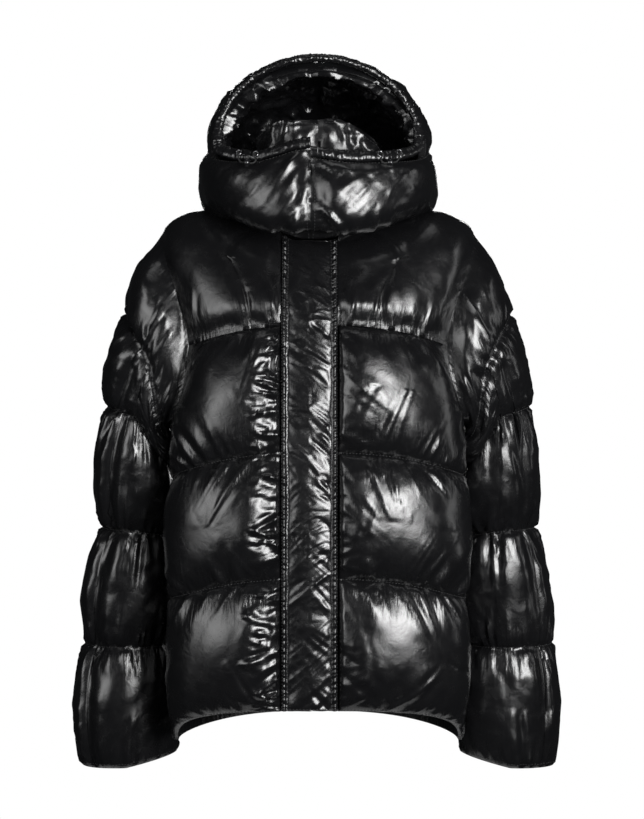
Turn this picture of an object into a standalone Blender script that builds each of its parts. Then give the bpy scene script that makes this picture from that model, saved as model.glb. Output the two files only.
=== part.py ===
"""Hooded puffer jacket, filled out as if worn: padded walls round an empty inside.

Metres, +Z up, the front towards -Y, the wearer's left towards +X. The origin is the middle of the neck
at the height of the shoulders. Each sewn piece is a closed wall: a plain inner face on a shared surface,
and an outer face that the filling lifts between the quilting seams.
"""

import math
from collections import namedtuple

import bmesh
import bpy
from mathutils import Vector

# ---- driving sizes -------------------------------------------------------------------------------
SIDES = ((-1, "right"), (1, "left"))
HALF_GAP = 0.00016  # each piece stops this far short of a seam line
SEAM_WALL = 0.0036  # cloth, filling and cloth where a seam presses them flat
NECK_WALL = 0.0080  # the neck edge carries the collar and the hood side by side
SQUARENESS = 2.5  # exponent of the body's cross-section, 2 is an ellipse

FLAP_RIGHT, FLAP_LEFT = 0.046, 0.025  # the storm flap's edges from the middle, it sits off centre
FRONT_PUFF, SIDE_PUFF, BACK_PUFF = 0.030, 0.010, 0.026
YOKE_PUFF, YOKE_NECK_PUFF = 0.013, 0.003
SLEEVE_PUFF, SLEEVE_OUTER_PUFF, SLEEVE_UNDER_PUFF = 0.015, 0.008, 0.002
SLEEVE_WAVE, SLEEVE_GATHERS = 0.10, 10  # gathers beside the seams across a sleeve, as a share of its filling
HOOD_PUFF, CROWN_PUFF = 0.010, 0.008
FRONT_NARROWING, BACK_NARROWING = 0.8, 1.6  # how soon the filling thins out towards the sides
SEAM_FILL, SIDE_FILL = 0.35, 0.5  # shares of the filling left beside a lengthwise seam and a side seam
YOKE_RAMP, SIDE_RAMP = 0.25, 0.2  # shares of a piece's width over which it comes back
FLAP_STRIP = {-1: 0.26, 1: 0.16}  # the lower strip beside the storm flap, right and left
GATHER_DEPTH, GATHER_REACH = 0.0022, 0.3  # half height of the gathers beside a seam, and how far they reach
FRONT_GATHERS, BACK_GATHERS, YOKE_GATHERS = 5, 4.5, {False: 2, True: 4}

# The torso's inner surface, from the hem up. One row for each level; the first four are seams.
Ring = namedtuple(
    "Ring", "front_z side_z back_z half_width front_y back_y side_y flat", defaults=(0.0,)
)
TORSO = (
    Ring(-0.629, -0.674, -0.656, 0.179, -0.126, 0.104, -0.055, 1.0),  # hem
    Ring(-0.463, -0.492, -0.484, 0.184, -0.136, 0.114, -0.060),  # waist seam
    Ring(-0.306, -0.336, -0.320, 0.182, -0.137, 0.117, -0.055),  # chest seam
    Ring(-0.147, -0.176, -0.152, 0.173, -0.121, 0.108, -0.020),  # yoke seam
    Ring(-0.075, -0.027, -0.042, 0.190, -0.098, 0.090, 0.000),  # shoulder point
    Ring(-0.038, 0.003, -0.004, 0.087, -0.077, 0.067, 0.000),  # foot of the neck
    Ring(-0.028, 0.013, 0.006, 0.085, -0.074, 0.064, 0.000),  # neck edge
)
HEM, WAIST, CHEST, YOKE, SHOULDER, NECK_FOOT, NECK = range(7)

# The armhole is an ellipse laid on the torso's surface, round the line of the side seam.
ARMPIT_LEVEL = 2.45
ARMHOLE_MIDDLE = (ARMPIT_LEVEL + SHOULDER) / 2
ARMHOLE_HALF = (SHOULDER - ARMPIT_LEVEL) / 2
ARMHOLE_REACH = 0.13  # half width of the armhole, in turns of the torso's side angle
SLEEVE_SEAM_ANGLE = 72.0  # where the lengthwise sleeve seams start on the armhole, degrees from the top

UNDERARM_BACK = 0.5  # how much more of it is at the back than in front
UNDERARM_OUT, UNDERARM_UP = 0.012, 0.005  # how far the sleeve stands off the side below the armpit

# The left sleeve's rings, one row for each seam across it. Each ring has an outermost point, a point
# under the arm and a middle, with half its depth from front to back.
Cuffwise = namedtuple("Cuffwise", "outer_x outer_z middle_x middle_z under_x under_z y half_depth seam_angle")
SLEEVE = (
    Cuffwise(0.246, -0.128, 0.212, -0.196, 0.200, -0.302, 0.008, 0.068, 74),
    Cuffwise(0.273, -0.248, 0.232, -0.262, 0.194, -0.336, 0.042, 0.072, 66),
    Cuffwise(0.282, -0.408, 0.237, -0.410, 0.192, -0.418, 0.070, 0.073, 56),
    Cuffwise(0.306, -0.562, 0.249, -0.562, 0.192, -0.562, 0.077, 0.070, 51),
    Cuffwise(0.309, -0.722, 0.251, -0.720, 0.192, -0.705, 0.072, 0.058, 50),
)

# The lower hood: from the neck out over the shoulders, round the roll and up to the face.
HOOD = (
    Ring(-0.0271, 0.0139, 0.0069, 0.0896, -0.0786, 0.0686, 0.000),  # on the neck edge
    Ring(-0.012, 0.028, 0.021, 0.097, -0.090, 0.078, 0.000),
    Ring(-0.022, 0.026, 0.014, 0.124, -0.126, 0.110, 0.000),  # underside
    Ring(-0.022, 0.029, 0.024, 0.138, -0.148, 0.130, -0.010),  # the roll's lowest fold
    Ring(0.015, 0.052, 0.050, 0.139, -0.153, 0.140, -0.030),
    Ring(0.053, 0.079, 0.082, 0.133, -0.1455, 0.140, -0.050, 1.0),  # below the face opening
)
HOOD_TOP = len(HOOD) - 1
CROWN_HEIGHT = 0.106  # above the seam between the crown and the lower hood
CROWN_BACK = 0.085  # how far back the crown's middle seam ends the upper edge of its grid
RIM_WALL = 0.0080  # the hood's wall beside the face opening

# The gathered channel: the line round the face opening that its middle follows.
OPENING_HALF_WIDTH, OPENING_RISE, OPENING_DROP = 0.127, 0.103, 0.026
OPENING_Z, OPENING_FRONT_Y = 0.088, -0.150
OPENING_LEAN, OPENING_CURVE = 0.349, 2.54  # backwards for each metre up, and for each square metre out
CHANNEL_RADIAL, CHANNEL_FORWARD = 0.0085, 0.0055  # half sizes of its section
CHANNEL_GATHER, CHANNEL_SLIT = 0.0007, 0.0006  # ripple, and half the slit where the hood's halves meet
CHANNEL_STEPS, CHANNEL_SIDES = 56, 8

COLLAR = (
    Ring(-0.0271, 0.0139, 0.0069, 0.085, -0.074, 0.064, 0.000),
    Ring(0.040, 0.040, 0.038, 0.083, -0.094, 0.062, -0.010),
    Ring(0.112, 0.076, 0.070, 0.080, -0.106, 0.056, -0.020),
)
COLLAR_PUFF, COLLAR_WAVE, COLLAR_GATHERS = 0.005, 0.0012, 12

EYELET_X = {"right_outer": -0.0966, "right_inner": -0.0761, "left_inner": 0.0761, "left_outer": 0.0998}
EYELET_MIDDLE_RADIUS, EYELET_WIRE_RADIUS = 0.0034, 0.0010
CORD_RADIUS = 0.0010
STOPPER_HANGS = (0.0, -0.020, -0.013)  # from the middle between its two eyelets
STOPPER_BORE, STOPPER_RADIUS, STOPPER_HALF_LENGTH = 0.0014, 0.0048, 0.0042

FLAP_WALL, FLAP_RIDGE, FLAP_RIDGE_IN = 0.0075, 0.0038, 0.004  # wall, its edge ridges and how far in they are
FLAP_PUFF, FLAP_FOLD = 0.0025, 0.0012


# ---- shared curves -------------------------------------------------------------------------------
def smooth(x):
    x = min(1.0, max(0.0, x))
    return x * x * (3 - 2 * x)


def mix(a, b, t):
    return a + (b - a) * t


def times(a, b):
    return Vector((a.x * b.x, a.y * b.y, a.z * b.z))


def between_rows(rows, level):
    """The row at a level that may lie between two, on a Catmull-Rom curve through each column."""
    last = len(rows) - 1
    level = min(float(last), max(0.0, level))
    k = min(last - 1, int(level))
    t = level - k
    before, a, b, after = rows[max(0, k - 1)], rows[k], rows[k + 1], rows[min(last, k + 2)]
    weights = (
        (-t + 2 * t**2 - t**3) / 2,
        (2 - 5 * t**2 + 3 * t**3) / 2,
        (t + 4 * t**2 - 3 * t**3) / 2,
        (-(t**2) + t**3) / 2,
    )
    columns = zip(before, a, b, after)
    return type(a)(*(sum(w * c for w, c in zip(weights, column)) for column in columns))


def ring_point(ring, turn):
    """A point of a ring. turn is 0 at the front, 0.5 at the left side, 1 at the back, 1.5 at the right."""
    across, along = math.sin(math.pi * turn), math.cos(math.pi * turn)
    power = 2 / SQUARENESS
    x = math.copysign(abs(across) ** power, across)
    depth = (ring.front_y if along > 0 else ring.back_y) - ring.side_y
    rounded = along**2
    if along > 0:
        rounded = mix(rounded, max(0.0, 1 - abs(x) ** 3) ** (1 / 3), ring.flat)
    drop = (ring.front_z if along > 0 else ring.back_z) - ring.side_z
    y = ring.side_y + depth * abs(along) ** power
    return Vector((ring.half_width * x, y, ring.side_z + drop * rounded))


def normal_of(surface, a, b, limits):
    """The outward normal of surface(a, b), where a runs to the left round the front and b runs up."""
    step = 0.002
    low, high = limits
    b0, b1 = max(low, b - step), min(high, b + step)
    return (surface(a + step, b) - surface(a - step, b)).cross(surface(a, b1) - surface(a, b0)).normalized()


def torso(turn, level):
    if level > NECK_FOOT:  # the neck's edge stands up straight
        foot, edge = ring_point(TORSO[NECK_FOOT], turn), ring_point(TORSO[NECK], turn)
        return foot.lerp(edge, level - NECK_FOOT)
    return ring_point(between_rows(TORSO[:NECK], level), turn)


def hood(turn, level):
    return ring_point(between_rows(HOOD, level), turn)


def collar(turn, level):
    return ring_point(between_rows(COLLAR, level), turn)


def level_direction(surface, turn, level):
    """The level outward direction, which the two pieces beside a seam share."""
    step = 0.002
    along = surface(turn + step, level) - surface(turn - step, level)
    return Vector((along.y, -along.x, 0)).normalized()


def side_turn(level):
    """How far round the fronts reach: to the side seam, the armhole's edge or the shoulder seam."""
    if ARMPIT_LEVEL < level < SHOULDER:
        height = (level - ARMHOLE_MIDDLE) / ARMHOLE_HALF
        return 0.5 - ARMHOLE_REACH * math.sqrt(1 - height**2)
    return 0.5


def flap_turn(level, half_width):
    """The turn at which the torso is half_width from the middle."""
    ring = between_rows(TORSO, level)
    return math.asin((half_width / ring.half_width) ** (SQUARENESS / 2)) / math.pi


def baffle(place):
    """The filling's height between two seams, 0 at each and 1 between, steep beside them."""
    t = place - math.floor(place)
    return (4 * t * (1 - t)) ** 0.55


def face_outwards(mesh):
    bmesh.ops.recalc_face_normals(mesh, faces=mesh.faces[:])
    if mesh.calc_volume(signed=True) < 0:
        bmesh.ops.reverse_faces(mesh, faces=mesh.faces[:])


# ---- walls ---------------------------------------------------------------------------------------
SPLIT_WAY = Vector((0.37, 0.61, 1.0))


def add_object(name, mesh, material, sharp_degrees=50):
    mesh.materials.append(material)
    mesh.shade_smooth()
    mesh.set_sharp_from_angle(angle=math.radians(sharp_degrees))
    thing = bpy.data.objects.new(name, mesh)
    bpy.context.scene.collection.objects.link(thing)
    return thing


def split_ends(mesh, outer):
    """Cuts the end faces in two by one rule, so that the faces on both sides of a seam match."""
    for face in mesh.faces[:]:
        feet = [vert for vert in face.verts if vert not in outer]
        if len(feet) != 2 or len(face.verts) != 4:
            continue
        foot = max(feet, key=lambda vert: vert.co.dot(SPLIT_WAY))
        beside = [edge.other_vert(foot) for edge in foot.link_edges]
        across = next(vert for vert in face.verts if vert != foot and vert not in beside)
        bmesh.utils.face_split(face, foot, across)


def wall(name, columns, rows, place, material, seams="left right top bottom"):
    """A closed wall on a grid. place(column, row) gives an inner point, the offset from it to the outer
    point, and for an edge that meets its neighbour at an angle, the way to step back from it."""
    mesh = bmesh.new()
    across, up = len(columns) - 1, len(rows) - 1
    bmesh.ops.create_grid(mesh, x_segments=across, y_segments=up, size=1.0)
    steps = {
        vert: (round((vert.co.x + 1) / 2 * across), round((vert.co.y + 1) / 2 * up)) for vert in mesh.verts
    }
    placed = {step: place(columns[step[0]], rows[step[1]]) for step in steps.values()}

    def stepped_back(step):
        i, j = step
        point, offset, shift = placed[step]
        for side, there, other in (
            ("left", i == 0, (1, j)),
            ("right", i == across, (across - 1, j)),
            ("bottom", j == 0, (i, 1)),
            ("top", j == up, (i, up - 1)),
        ):
            if there and side in seams:
                shift = shift + (placed[other][0] - point).normalized() * HALF_GAP
        return point + shift, point + shift + offset

    grown = bmesh.ops.extrude_face_region(mesh, geom=mesh.faces[:])
    outer = [item for item in grown["geom"] if isinstance(item, bmesh.types.BMVert)]
    outer_steps = {
        vert: (round((vert.co.x + 1) / 2 * across), round((vert.co.y + 1) / 2 * up)) for vert in outer
    }
    for vert, step in outer_steps.items():
        vert.co = stepped_back(step)[1]
    for vert, step in steps.items():
        if vert not in outer_steps:
            vert.co = stepped_back(step)[0]
    split_ends(mesh, set(outer_steps))
    face_outwards(mesh)
    data = bpy.data.meshes.new(name)
    mesh.to_mesh(data)
    mesh.free()
    return add_object(name, data, material)


def eased(count, start=0.0, end=1.0):
    """Steps from start to end that crowd at both ends, where the filling rises from its seams."""
    return [mix(start, end, (1 - math.cos(math.pi * k / count)) / 2) for k in range(count + 1)]


def even(count, start=0.0, end=1.0):
    return [mix(start, end, k / count) for k in range(count + 1)]


# ---- torso ---------------------------------------------------------------------------------------
ARMHOLE_ANGLES = (0, 18, 36, 54, SLEEVE_SEAM_ANGLE, 90, 102, 106.87, 112.5, 126, 145, 162, 180)
ARMHOLE_LEVELS = sorted(ARMHOLE_MIDDLE + ARMHOLE_HALF * math.cos(math.radians(a)) for a in ARMHOLE_ANGLES)
YOKE_AT = min(range(len(ARMHOLE_LEVELS)), key=lambda k: abs(ARMHOLE_LEVELS[k] - YOKE))
ARMHOLE_LEVELS[YOKE_AT] = float(YOKE)  # the yoke seam ends on the armhole, at one of its points
BODY_ROWS = eased(5, HEM, WAIST) + eased(5, WAIST, CHEST)[1:] + [2.07, 2.24] + ARMHOLE_LEVELS[: YOKE_AT + 1]
YOKE_ROWS = ARMHOLE_LEVELS[YOKE_AT:] + [4.3, 4.6, 4.85, float(NECK_FOOT), float(NECK)]


def armhole_centre(side):
    height = mix(TORSO[YOKE].side_z, TORSO[SHOULDER].side_z, 0.2)
    return Vector((side * TORSO[YOKE].half_width, -0.004, height))


def armhole_edge(turn, level, side):
    """At the armhole's edge: the shared direction of both pieces' end faces, and the torso's way back."""
    point = torso(turn, level)
    out = normal_of(torso, turn, level, (HEM, NECK))
    away = point - armhole_centre(side)
    away = (away - out * away.dot(out)).normalized()
    return (out + away).normalized(), (away - out).normalized() * HALF_GAP


def body_height(turn, level):
    """The filling's height on the torso, without the ramps along a piece's edges."""
    if level > YOKE:
        rise = smooth((level - YOKE) / 0.25)
        near_neck = smooth((level - SHOULDER - 0.2) / 0.6)
        return mix(YOKE_PUFF, YOKE_NECK_PUFF, near_neck) * rise
    facing = math.cos(math.pi * turn)  # 1 at the front, 0 at the sides, -1 at the back
    middle, narrowing = (FRONT_PUFF, FRONT_NARROWING) if facing > 0 else (BACK_PUFF, BACK_NARROWING)
    return mix(SIDE_PUFF, middle, abs(facing) ** narrowing) * baffle(level)


def gathers(share, level, count):
    """Small waves beside the quilting seams, which fade into the baffle."""
    from_seam = abs(level - round(level))
    fade = max(0.0, 1 - from_seam / GATHER_REACH) * smooth(from_seam / 0.05)
    return GATHER_DEPTH * math.cos(math.tau * count * share) * fade


def torso_place(side, turn, level, height, armhole=True):
    """Where a torso piece's point is, with its offset, and its way back on the armhole's edge."""
    turn = turn if side > 0 else 2 - turn
    point = torso(turn, level)
    out = normal_of(torso, turn, level, (HEM, NECK))
    if level >= NECK:
        return point, level_direction(torso, turn, level) * NECK_WALL, Vector()
    if level >= NECK_FOOT:  # halfway between the neck's level wall and the shoulders' upright one
        slanted = level_direction(torso, turn, level) + Vector((0, 0, 0.75))
        return point, slanted.normalized() * NECK_WALL, Vector()
    if armhole and ARMPIT_LEVEL <= level <= SHOULDER:
        direction, back = armhole_edge(turn, level, side)
        return point, direction * SEAM_WALL, back
    return point, out * (SEAM_WALL + height), Vector()


def front_turn(side, share, level):
    """From the storm flap's edge at share 0 to the side at share 1."""
    return mix(flap_turn(level, FLAP_LEFT if side > 0 else FLAP_RIGHT), side_turn(level), share)


def armhole_easing(level, share):
    """Keeps the filling low beside the armhole, where the sleeve stands against it."""
    past = max(0.0, ARMPIT_LEVEL - level, level - SHOULDER)
    return smooth(math.hypot((1 - share) / 0.3, past / 0.4))


def front_place(side):
    strip = FLAP_STRIP[side]

    def place(share, level):
        turn = front_turn(side, share, level)
        lifted = mix(SEAM_FILL, 1.0, smooth((share - 0.05) / strip)) * smooth(share / 0.06)
        lifted *= mix(SIDE_FILL, 1.0, smooth((1 - share) / SIDE_RAMP)) * armhole_easing(level, share)
        height = body_height(turn, level) * lifted + gathers(share, level, FRONT_GATHERS) * lifted
        return torso_place(side, turn, level, max(0.0, height), armhole=share >= 1)

    return place


def princess(level):
    """The share of the front at which the yoke's lengthwise seam runs."""
    return 0.22 + 0.06 * min(1.6, level - YOKE)


def yoke_place(side, outer):
    def place(step, level):
        seam = princess(level)
        share = mix(seam, 1, step) if outer else seam * step
        turn = front_turn(side, share, level)
        edge = smooth(step / YOKE_RAMP) * smooth((1 - step) / YOKE_RAMP)
        height = body_height(turn, level) * mix(SEAM_FILL, 1.0, edge) * armhole_easing(level, share)
        height += gathers(step, level, YOKE_GATHERS[outer]) * armhole_easing(level, share)
        return torso_place(side, turn, level, max(0.0, height), armhole=outer and step >= 1)

    return place


def back_place(share, level):
    """The back from the right side at share 0 to the left side at share 1."""
    half = 2 * share - 1  # -1 at the right, 1 at the left
    edge = abs(half)
    turn = 1 - edge * side_turn(level)
    lowest = SEAM_FILL if level > YOKE else SIDE_FILL
    height = body_height(turn, level) * mix(lowest, 1.0, smooth((1 - edge) / SIDE_RAMP))
    height = max(0.0, (height + gathers(edge, level, BACK_GATHERS)) * armhole_easing(level, edge))
    return torso_place(1 if half >= 0 else -1, turn, level, height, armhole=edge >= 1)


def build_torso(shell):
    shares = even(10)
    for side, word in SIDES:
        order = shares if side > 0 else shares[::-1]
        wall(f"front_{word}", order, BODY_ROWS, front_place(side), shell)
        inner = even(3)
        wall(f"yoke_front_inner_{word}", inner, YOKE_ROWS, yoke_place(side, False), shell)
        outer = even(7)
        wall(f"yoke_front_outer_{word}", outer, YOKE_ROWS, yoke_place(side, True), shell)
    shares = even(18)
    wall("back", shares, BODY_ROWS, back_place, shell)
    wall("yoke_back", shares, YOKE_ROWS, back_place, shell)


def flap_place(share, level):
    """The storm flap from its right edge to its left, with a ridge along each edge."""
    x = mix(-FLAP_RIGHT, FLAP_LEFT, share)
    turn = math.copysign(flap_turn(level, abs(x)), x)
    point = torso(turn, level)
    from_edge = min(share, 1 - share) * (FLAP_RIGHT + FLAP_LEFT)
    ridge = FLAP_RIDGE * math.exp(-(((from_edge - FLAP_RIDGE_IN) / 0.0025) ** 2))
    filling = FLAP_PUFF * smooth(from_edge / 0.03)
    fold = FLAP_FOLD * math.sin(math.tau * (3 * level + 1.5 * share)) * smooth(from_edge / 0.015)
    height = SEAM_WALL if from_edge <= 0 else FLAP_WALL + ridge + filling + fold
    return point, normal_of(torso, turn, level, (HEM, NECK)) * height, Vector()


def build_flap(shell):
    width = FLAP_RIGHT + FLAP_LEFT
    edge = [0, 0.0018 / width, 0.004 / width, 0.008 / width]
    shares = edge + [0.3, 0.5, 0.7] + [1 - x for x in edge[::-1]]
    wall("storm_flap", shares, even(24, 0.012, 4.8), flap_place, shell, seams="left right")


# ---- sleeves -------------------------------------------------------------------------------------
def sleeve_ring(row, angle):
    """A point of one of the sleeve's rings: 0 degrees is outermost, 90 in front, 180 under the arm."""
    out, forward = math.cos(math.radians(angle)), math.sin(math.radians(angle))
    tip = (row.outer_x, row.outer_z) if out > 0 else (row.under_x, row.under_z)
    x = mix(row.middle_x, tip[0], abs(out))
    z = mix(row.middle_z, tip[1], abs(out))
    return Vector((x, row.y - row.half_depth * forward, z))


def armhole_point(angle):
    """The armhole's edge at an angle: its point, turn and level, which the torso's rows share."""
    level = ARMHOLE_MIDDLE + ARMHOLE_HALF * math.cos(math.radians(angle))
    nearest = min(ARMHOLE_LEVELS, key=lambda known: abs(known - level))
    if abs(nearest - level) < 0.003:
        level = nearest
    reach = 0.5 - side_turn(level)
    turn = 0.5 - math.copysign(reach, math.sin(math.radians(angle)))
    return torso(turn, level), turn, level


def sleeve_angle(start_angle, place):
    """Carries an angle at the armhole down the sleeve, as the lengthwise seams move outwards."""
    k = min(len(SLEEVE) - 1, int(place))
    seams = [SLEEVE_SEAM_ANGLE] + [row.seam_angle for row in SLEEVE]
    seam = mix(seams[k], seams[min(k + 1, len(SLEEVE))], place - k)
    a = start_angle
    if abs(a) <= SLEEVE_SEAM_ANGLE:
        return a * seam / SLEEVE_SEAM_ANGLE
    return math.copysign(180 - (180 - abs(a)) * (180 - seam) / (180 - SLEEVE_SEAM_ANGLE), a)


def sleeve(start_angle, place):
    """The left sleeve's inner surface. place is 0 at the armhole and 5 at the cuff."""
    place = min(float(len(SLEEVE)), max(0.0, place))
    k = min(len(SLEEVE) - 1, int(place))
    angle = sleeve_angle(start_angle, place)
    lower = sleeve_ring(SLEEVE[k], angle)
    upper = armhole_point(start_angle)[0] if k == 0 else sleeve_ring(SLEEVE[k - 1], angle)
    point = upper.lerp(lower, place - k)
    if k == 0:  # under the arm it runs outwards before it hangs down
        under = max(0.0, -math.cos(math.radians(angle))) * math.sin(math.pi * place)
        under *= 1 - UNDERARM_BACK * math.sin(math.radians(angle))
        point += Vector((UNDERARM_OUT, 0, UNDERARM_UP)) * under
    return point


def sleeve_height(angle, place):
    out = math.cos(math.radians(angle))
    tip = SLEEVE_OUTER_PUFF if out > 0 else SLEEVE_UNDER_PUFF
    full = mix(SLEEVE_PUFF, tip, abs(out) ** (1.5 if out > 0 else 0.7))
    if place < 1:  # little filling where the sleeve meets the torso
        full *= smooth(place / 0.45) * (1 if out > 0 else 1 - abs(out))
    wave = SLEEVE_WAVE * math.cos(math.radians(SLEEVE_GATHERS * angle)) * (1 - baffle(place))
    return full * (baffle(place) + wave * smooth((place - int(place)) / 0.05))


def sleeve_place(side):
    def place(start_angle, down):
        point = sleeve(start_angle, down)
        around = sleeve(start_angle + 1, down) - sleeve(start_angle - 1, down)
        along = sleeve(start_angle, down + 0.01) - sleeve(start_angle, down - 0.01)
        out = around.cross(along).normalized()
        _, turn, level = armhole_point(start_angle)
        direction, torso_back = armhole_edge(turn, level, 1)
        out = (out + direction * max(0.0, 1 - down / 0.5)).normalized()  # turns gently from the armhole
        back = Vector()
        offset = out * (SEAM_WALL + sleeve_height(sleeve_angle(start_angle, down), down))
        if down <= 0:
            offset, back = direction * SEAM_WALL, -torso_back
        mirror = Vector((side, 1, 1))
        return times(point, mirror), times(offset, mirror), times(back, mirror)

    return place


def build_sleeves(shell):
    rows = [0, 0.25, 0.6]
    downs = rows + [k + t for k in range(1, 5) for t in (0, 0.1, 0.35, 0.65, 0.9)] + [5]
    top = [a for a in ARMHOLE_ANGLES if a <= SLEEVE_SEAM_ANGLE]
    under = [a for a in ARMHOLE_ANGLES if a >= SLEEVE_SEAM_ANGLE]
    top_angles = [-a for a in top[:0:-1]] + top
    under_angles = under + [360 - a for a in under[-2::-1]]
    for side, word in SIDES:
        wall(f"sleeve_top_{word}", top_angles, downs, sleeve_place(side), shell)
        wall(f"sleeve_under_{word}", under_angles, downs, sleeve_place(side), shell)


# ---- hood and collar -----------------------------------------------------------------------------
def opening_depth(x, z):
    """How far forward the face opening's edge is, at a point seen from the front."""
    low = OPENING_Z - OPENING_DROP
    return OPENING_FRONT_Y + (z - low) * OPENING_LEAN + OPENING_CURVE * x * x


def opening_line():
    """The channel's middle line: a flat bottom, round corners and an arch, in even steps."""
    points = []
    for k in range(721):
        angle = math.radians(-90 + k / 2)
        out, rise = math.cos(angle), math.sin(angle)
        if rise >= 0:
            x, z = out, OPENING_Z + OPENING_RISE * rise
        else:
            x, z = math.copysign(abs(out) ** (2 / 3), out), OPENING_Z - OPENING_DROP * abs(rise) ** (2 / 3)
        x *= OPENING_HALF_WIDTH
        points.append(Vector((x, opening_depth(x, z), z)))
    return points


def evenly(points, count):
    """count + 1 points at equal distances along a polyline."""
    lengths = [0.0]
    for a, b in zip(points, points[1:]):
        lengths.append(lengths[-1] + (b - a).length)
    found, k = [], 0
    for step in range(count + 1):
        wanted = lengths[-1] * step / count
        while k < len(points) - 2 and lengths[k + 1] < wanted:
            k += 1
        found.append(points[k].lerp(points[k + 1], (wanted - lengths[k]) / (lengths[k + 1] - lengths[k])))
    return found


def hood_place(side):
    def place(share, level):
        turn = share if side > 0 else 2 - share
        point = hood(turn, level)
        if level <= 0 or level >= HOOD_TOP:
            thickness = SEAM_WALL if level <= 0 else RIM_WALL
            return point, level_direction(hood, turn, level) * thickness, Vector()
        filled = smooth((level - 1) / 2) * smooth(share / 0.03) * smooth((1 - share) / 0.03)
        height = HOOD_PUFF * filled * mix(1.0, 0.5, smooth((level - 4.2) / 0.8))
        return point, normal_of(hood, turn, level, (0, HOOD_TOP)) * (SEAM_WALL + height), Vector()

    return place


def crown_centre():
    top = HOOD[HOOD_TOP]
    return Vector((0, top.side_y, top.side_z))


def crown_share(x, y, z):
    """1 on the crown's inner surface, less inside it."""
    top = HOOD[HOOD_TOP]
    depth = top.back_y - top.side_y if y > top.side_y else top.side_y - top.front_y
    arch = math.hypot(x / top.half_width, (z - top.side_z) / CROWN_HEIGHT)
    return (arch**SQUARENESS + (abs(y - top.side_y) / depth) ** SQUARENESS) ** (1 / SQUARENESS)


def on_crown(point):
    centre = crown_centre()
    return centre + (point - centre) / crown_share(*point)


def rim_point(angle):
    """Where the crown meets the channel, on the arch at an angle from the side to the top."""
    top, y = HOOD[HOOD_TOP], -0.090
    for _ in range(4):
        depth = top.side_y - top.front_y
        scale = (1 - (abs(y - top.side_y) / depth) ** SQUARENESS) ** (1 / SQUARENESS)
        x = top.half_width * scale * math.cos(angle)
        z = top.side_z + CROWN_HEIGHT * scale * math.sin(angle)
        grown = 1 + RIM_WALL / top.half_width
        y = opening_depth(x * grown, mix(top.side_z, z, grown)) + CHANNEL_FORWARD + 0.0020
    return Vector((x, y, z))


def crown_side_turn():
    """Where the crown's front edge stands on the lower hood, as a turn of its upper ring."""
    wanted, low, high = rim_point(0).y, 0.05, 0.5
    for _ in range(40):
        middle = (low + high) / 2
        low, high = (middle, high) if hood(middle, HOOD_TOP).y < wanted else (low, middle)
    return low


def crown(across, up):
    """The left half of the crown: across runs from the face to the back, up from the side to the middle."""
    start = crown_side_turn()

    def base(s):
        return hood(mix(start, 1, s), HOOD_TOP)

    def ridge(s):
        return on_crown(Vector((0, mix(rim_point(math.pi / 2).y, CROWN_BACK, s), 0.18)))

    def rim(t):
        point = rim_point(t * math.pi / 2)
        return point + (base(0) - rim_point(0)) * (1 - t) ** 3

    def rear(t):
        centre = crown_centre()
        a, b = base(1) - centre, ridge(1) - centre
        return on_crown(centre + a.lerp(b, t)) if t > 0 else base(1)

    s, t = across, up
    corners = base(0) * (1 - s) * (1 - t) + base(1) * s * (1 - t) + ridge(0) * (1 - s) * t + ridge(1) * s * t
    flat = base(s) * (1 - t) + ridge(s) * t + rim(t) * (1 - s) + rear(t) * s - corners
    if t <= 0 or s <= 0:
        return flat
    round_point = on_crown(flat)
    edge = base(s) - on_crown(base(s))
    return round_point + edge * (1 - t) ** 3


AXIS_STEPS = [Vector((x, y, z)) * 1e-4 for x, y, z in ((1, 0, 0), (0, 1, 0), (0, 0, 1))]


def crown_place(side):
    def place(share, up):
        point = crown(share, up)
        here = crown_share(*point)
        grown = [crown_share(*(point + way)) - here for way in AXIS_STEPS]
        out = Vector(grown).normalized()
        # beside the channel the wall stands square to the way that the face opening looks
        forward = Vector((0, -1, OPENING_LEAN)).normalized()
        out = (out - forward * out.dot(forward) * smooth(1 - share / 0.3)).normalized()
        beside_seam = smooth((1 - up) / 0.25)
        filled = smooth(share / 0.25) * smooth(up / 0.15)
        offset = out * (RIM_WALL * mix(0.8, 1.0, beside_seam) + CROWN_PUFF * filled * beside_seam)
        if up <= 0:
            turn = mix(crown_side_turn(), 1, share)
            offset = level_direction(hood, turn, HOOD_TOP) * RIM_WALL
        if up >= 1:
            offset.x = 0
        mirror = Vector((side, 1, 1))
        return times(point, mirror), times(offset, mirror), Vector()

    return place


def collar_place(side):
    def place(share, level):
        turn = share if side > 0 else 2 - share
        point = collar(turn, level)
        if level <= 0:
            return point, level_direction(collar, turn, level) * SEAM_WALL, Vector()
        height = COLLAR_PUFF * baffle(level / 2 * 0.999) * smooth(share / 0.04) * smooth((1 - share) / 0.04)
        wave = COLLAR_WAVE * math.cos(math.tau * COLLAR_GATHERS * share) * smooth((level - 1) / 0.5)
        return point, normal_of(collar, turn, level, (0, 2)) * (SEAM_WALL + height + wave), Vector()

    return place


def build_hood(shell):
    across = [0, 0.09, 0.19, 0.31, 0.44, 0.58, 0.72, 0.86, 0.95, 1]
    start = crown_side_turn()
    turns = [start * share for share in (0, 0.08, 0.24, 0.42, 0.6, 0.76, 0.9)]
    turns += [mix(start, 1, share) for share in across]
    levels = [0, 1, 2, 2.6, 3.2, 4, 4.6, HOOD_TOP]
    up = [0, 0.08, 0.2, 0.35, 0.5, 0.65, 0.8, 0.92, 1]
    for side, word in SIDES:
        wall(f"hood_funnel_{word}", turns, levels, hood_place(side), shell)
        wall(f"hood_crown_{word}", across, up, crown_place(side), shell)


def build_collar(shell):
    levels = [0, 0.5, 1, 1.5, 1.9, 2]
    for side, word in SIDES:
        wall(f"collar_{word}", even(14), levels, collar_place(side), shell)


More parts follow.
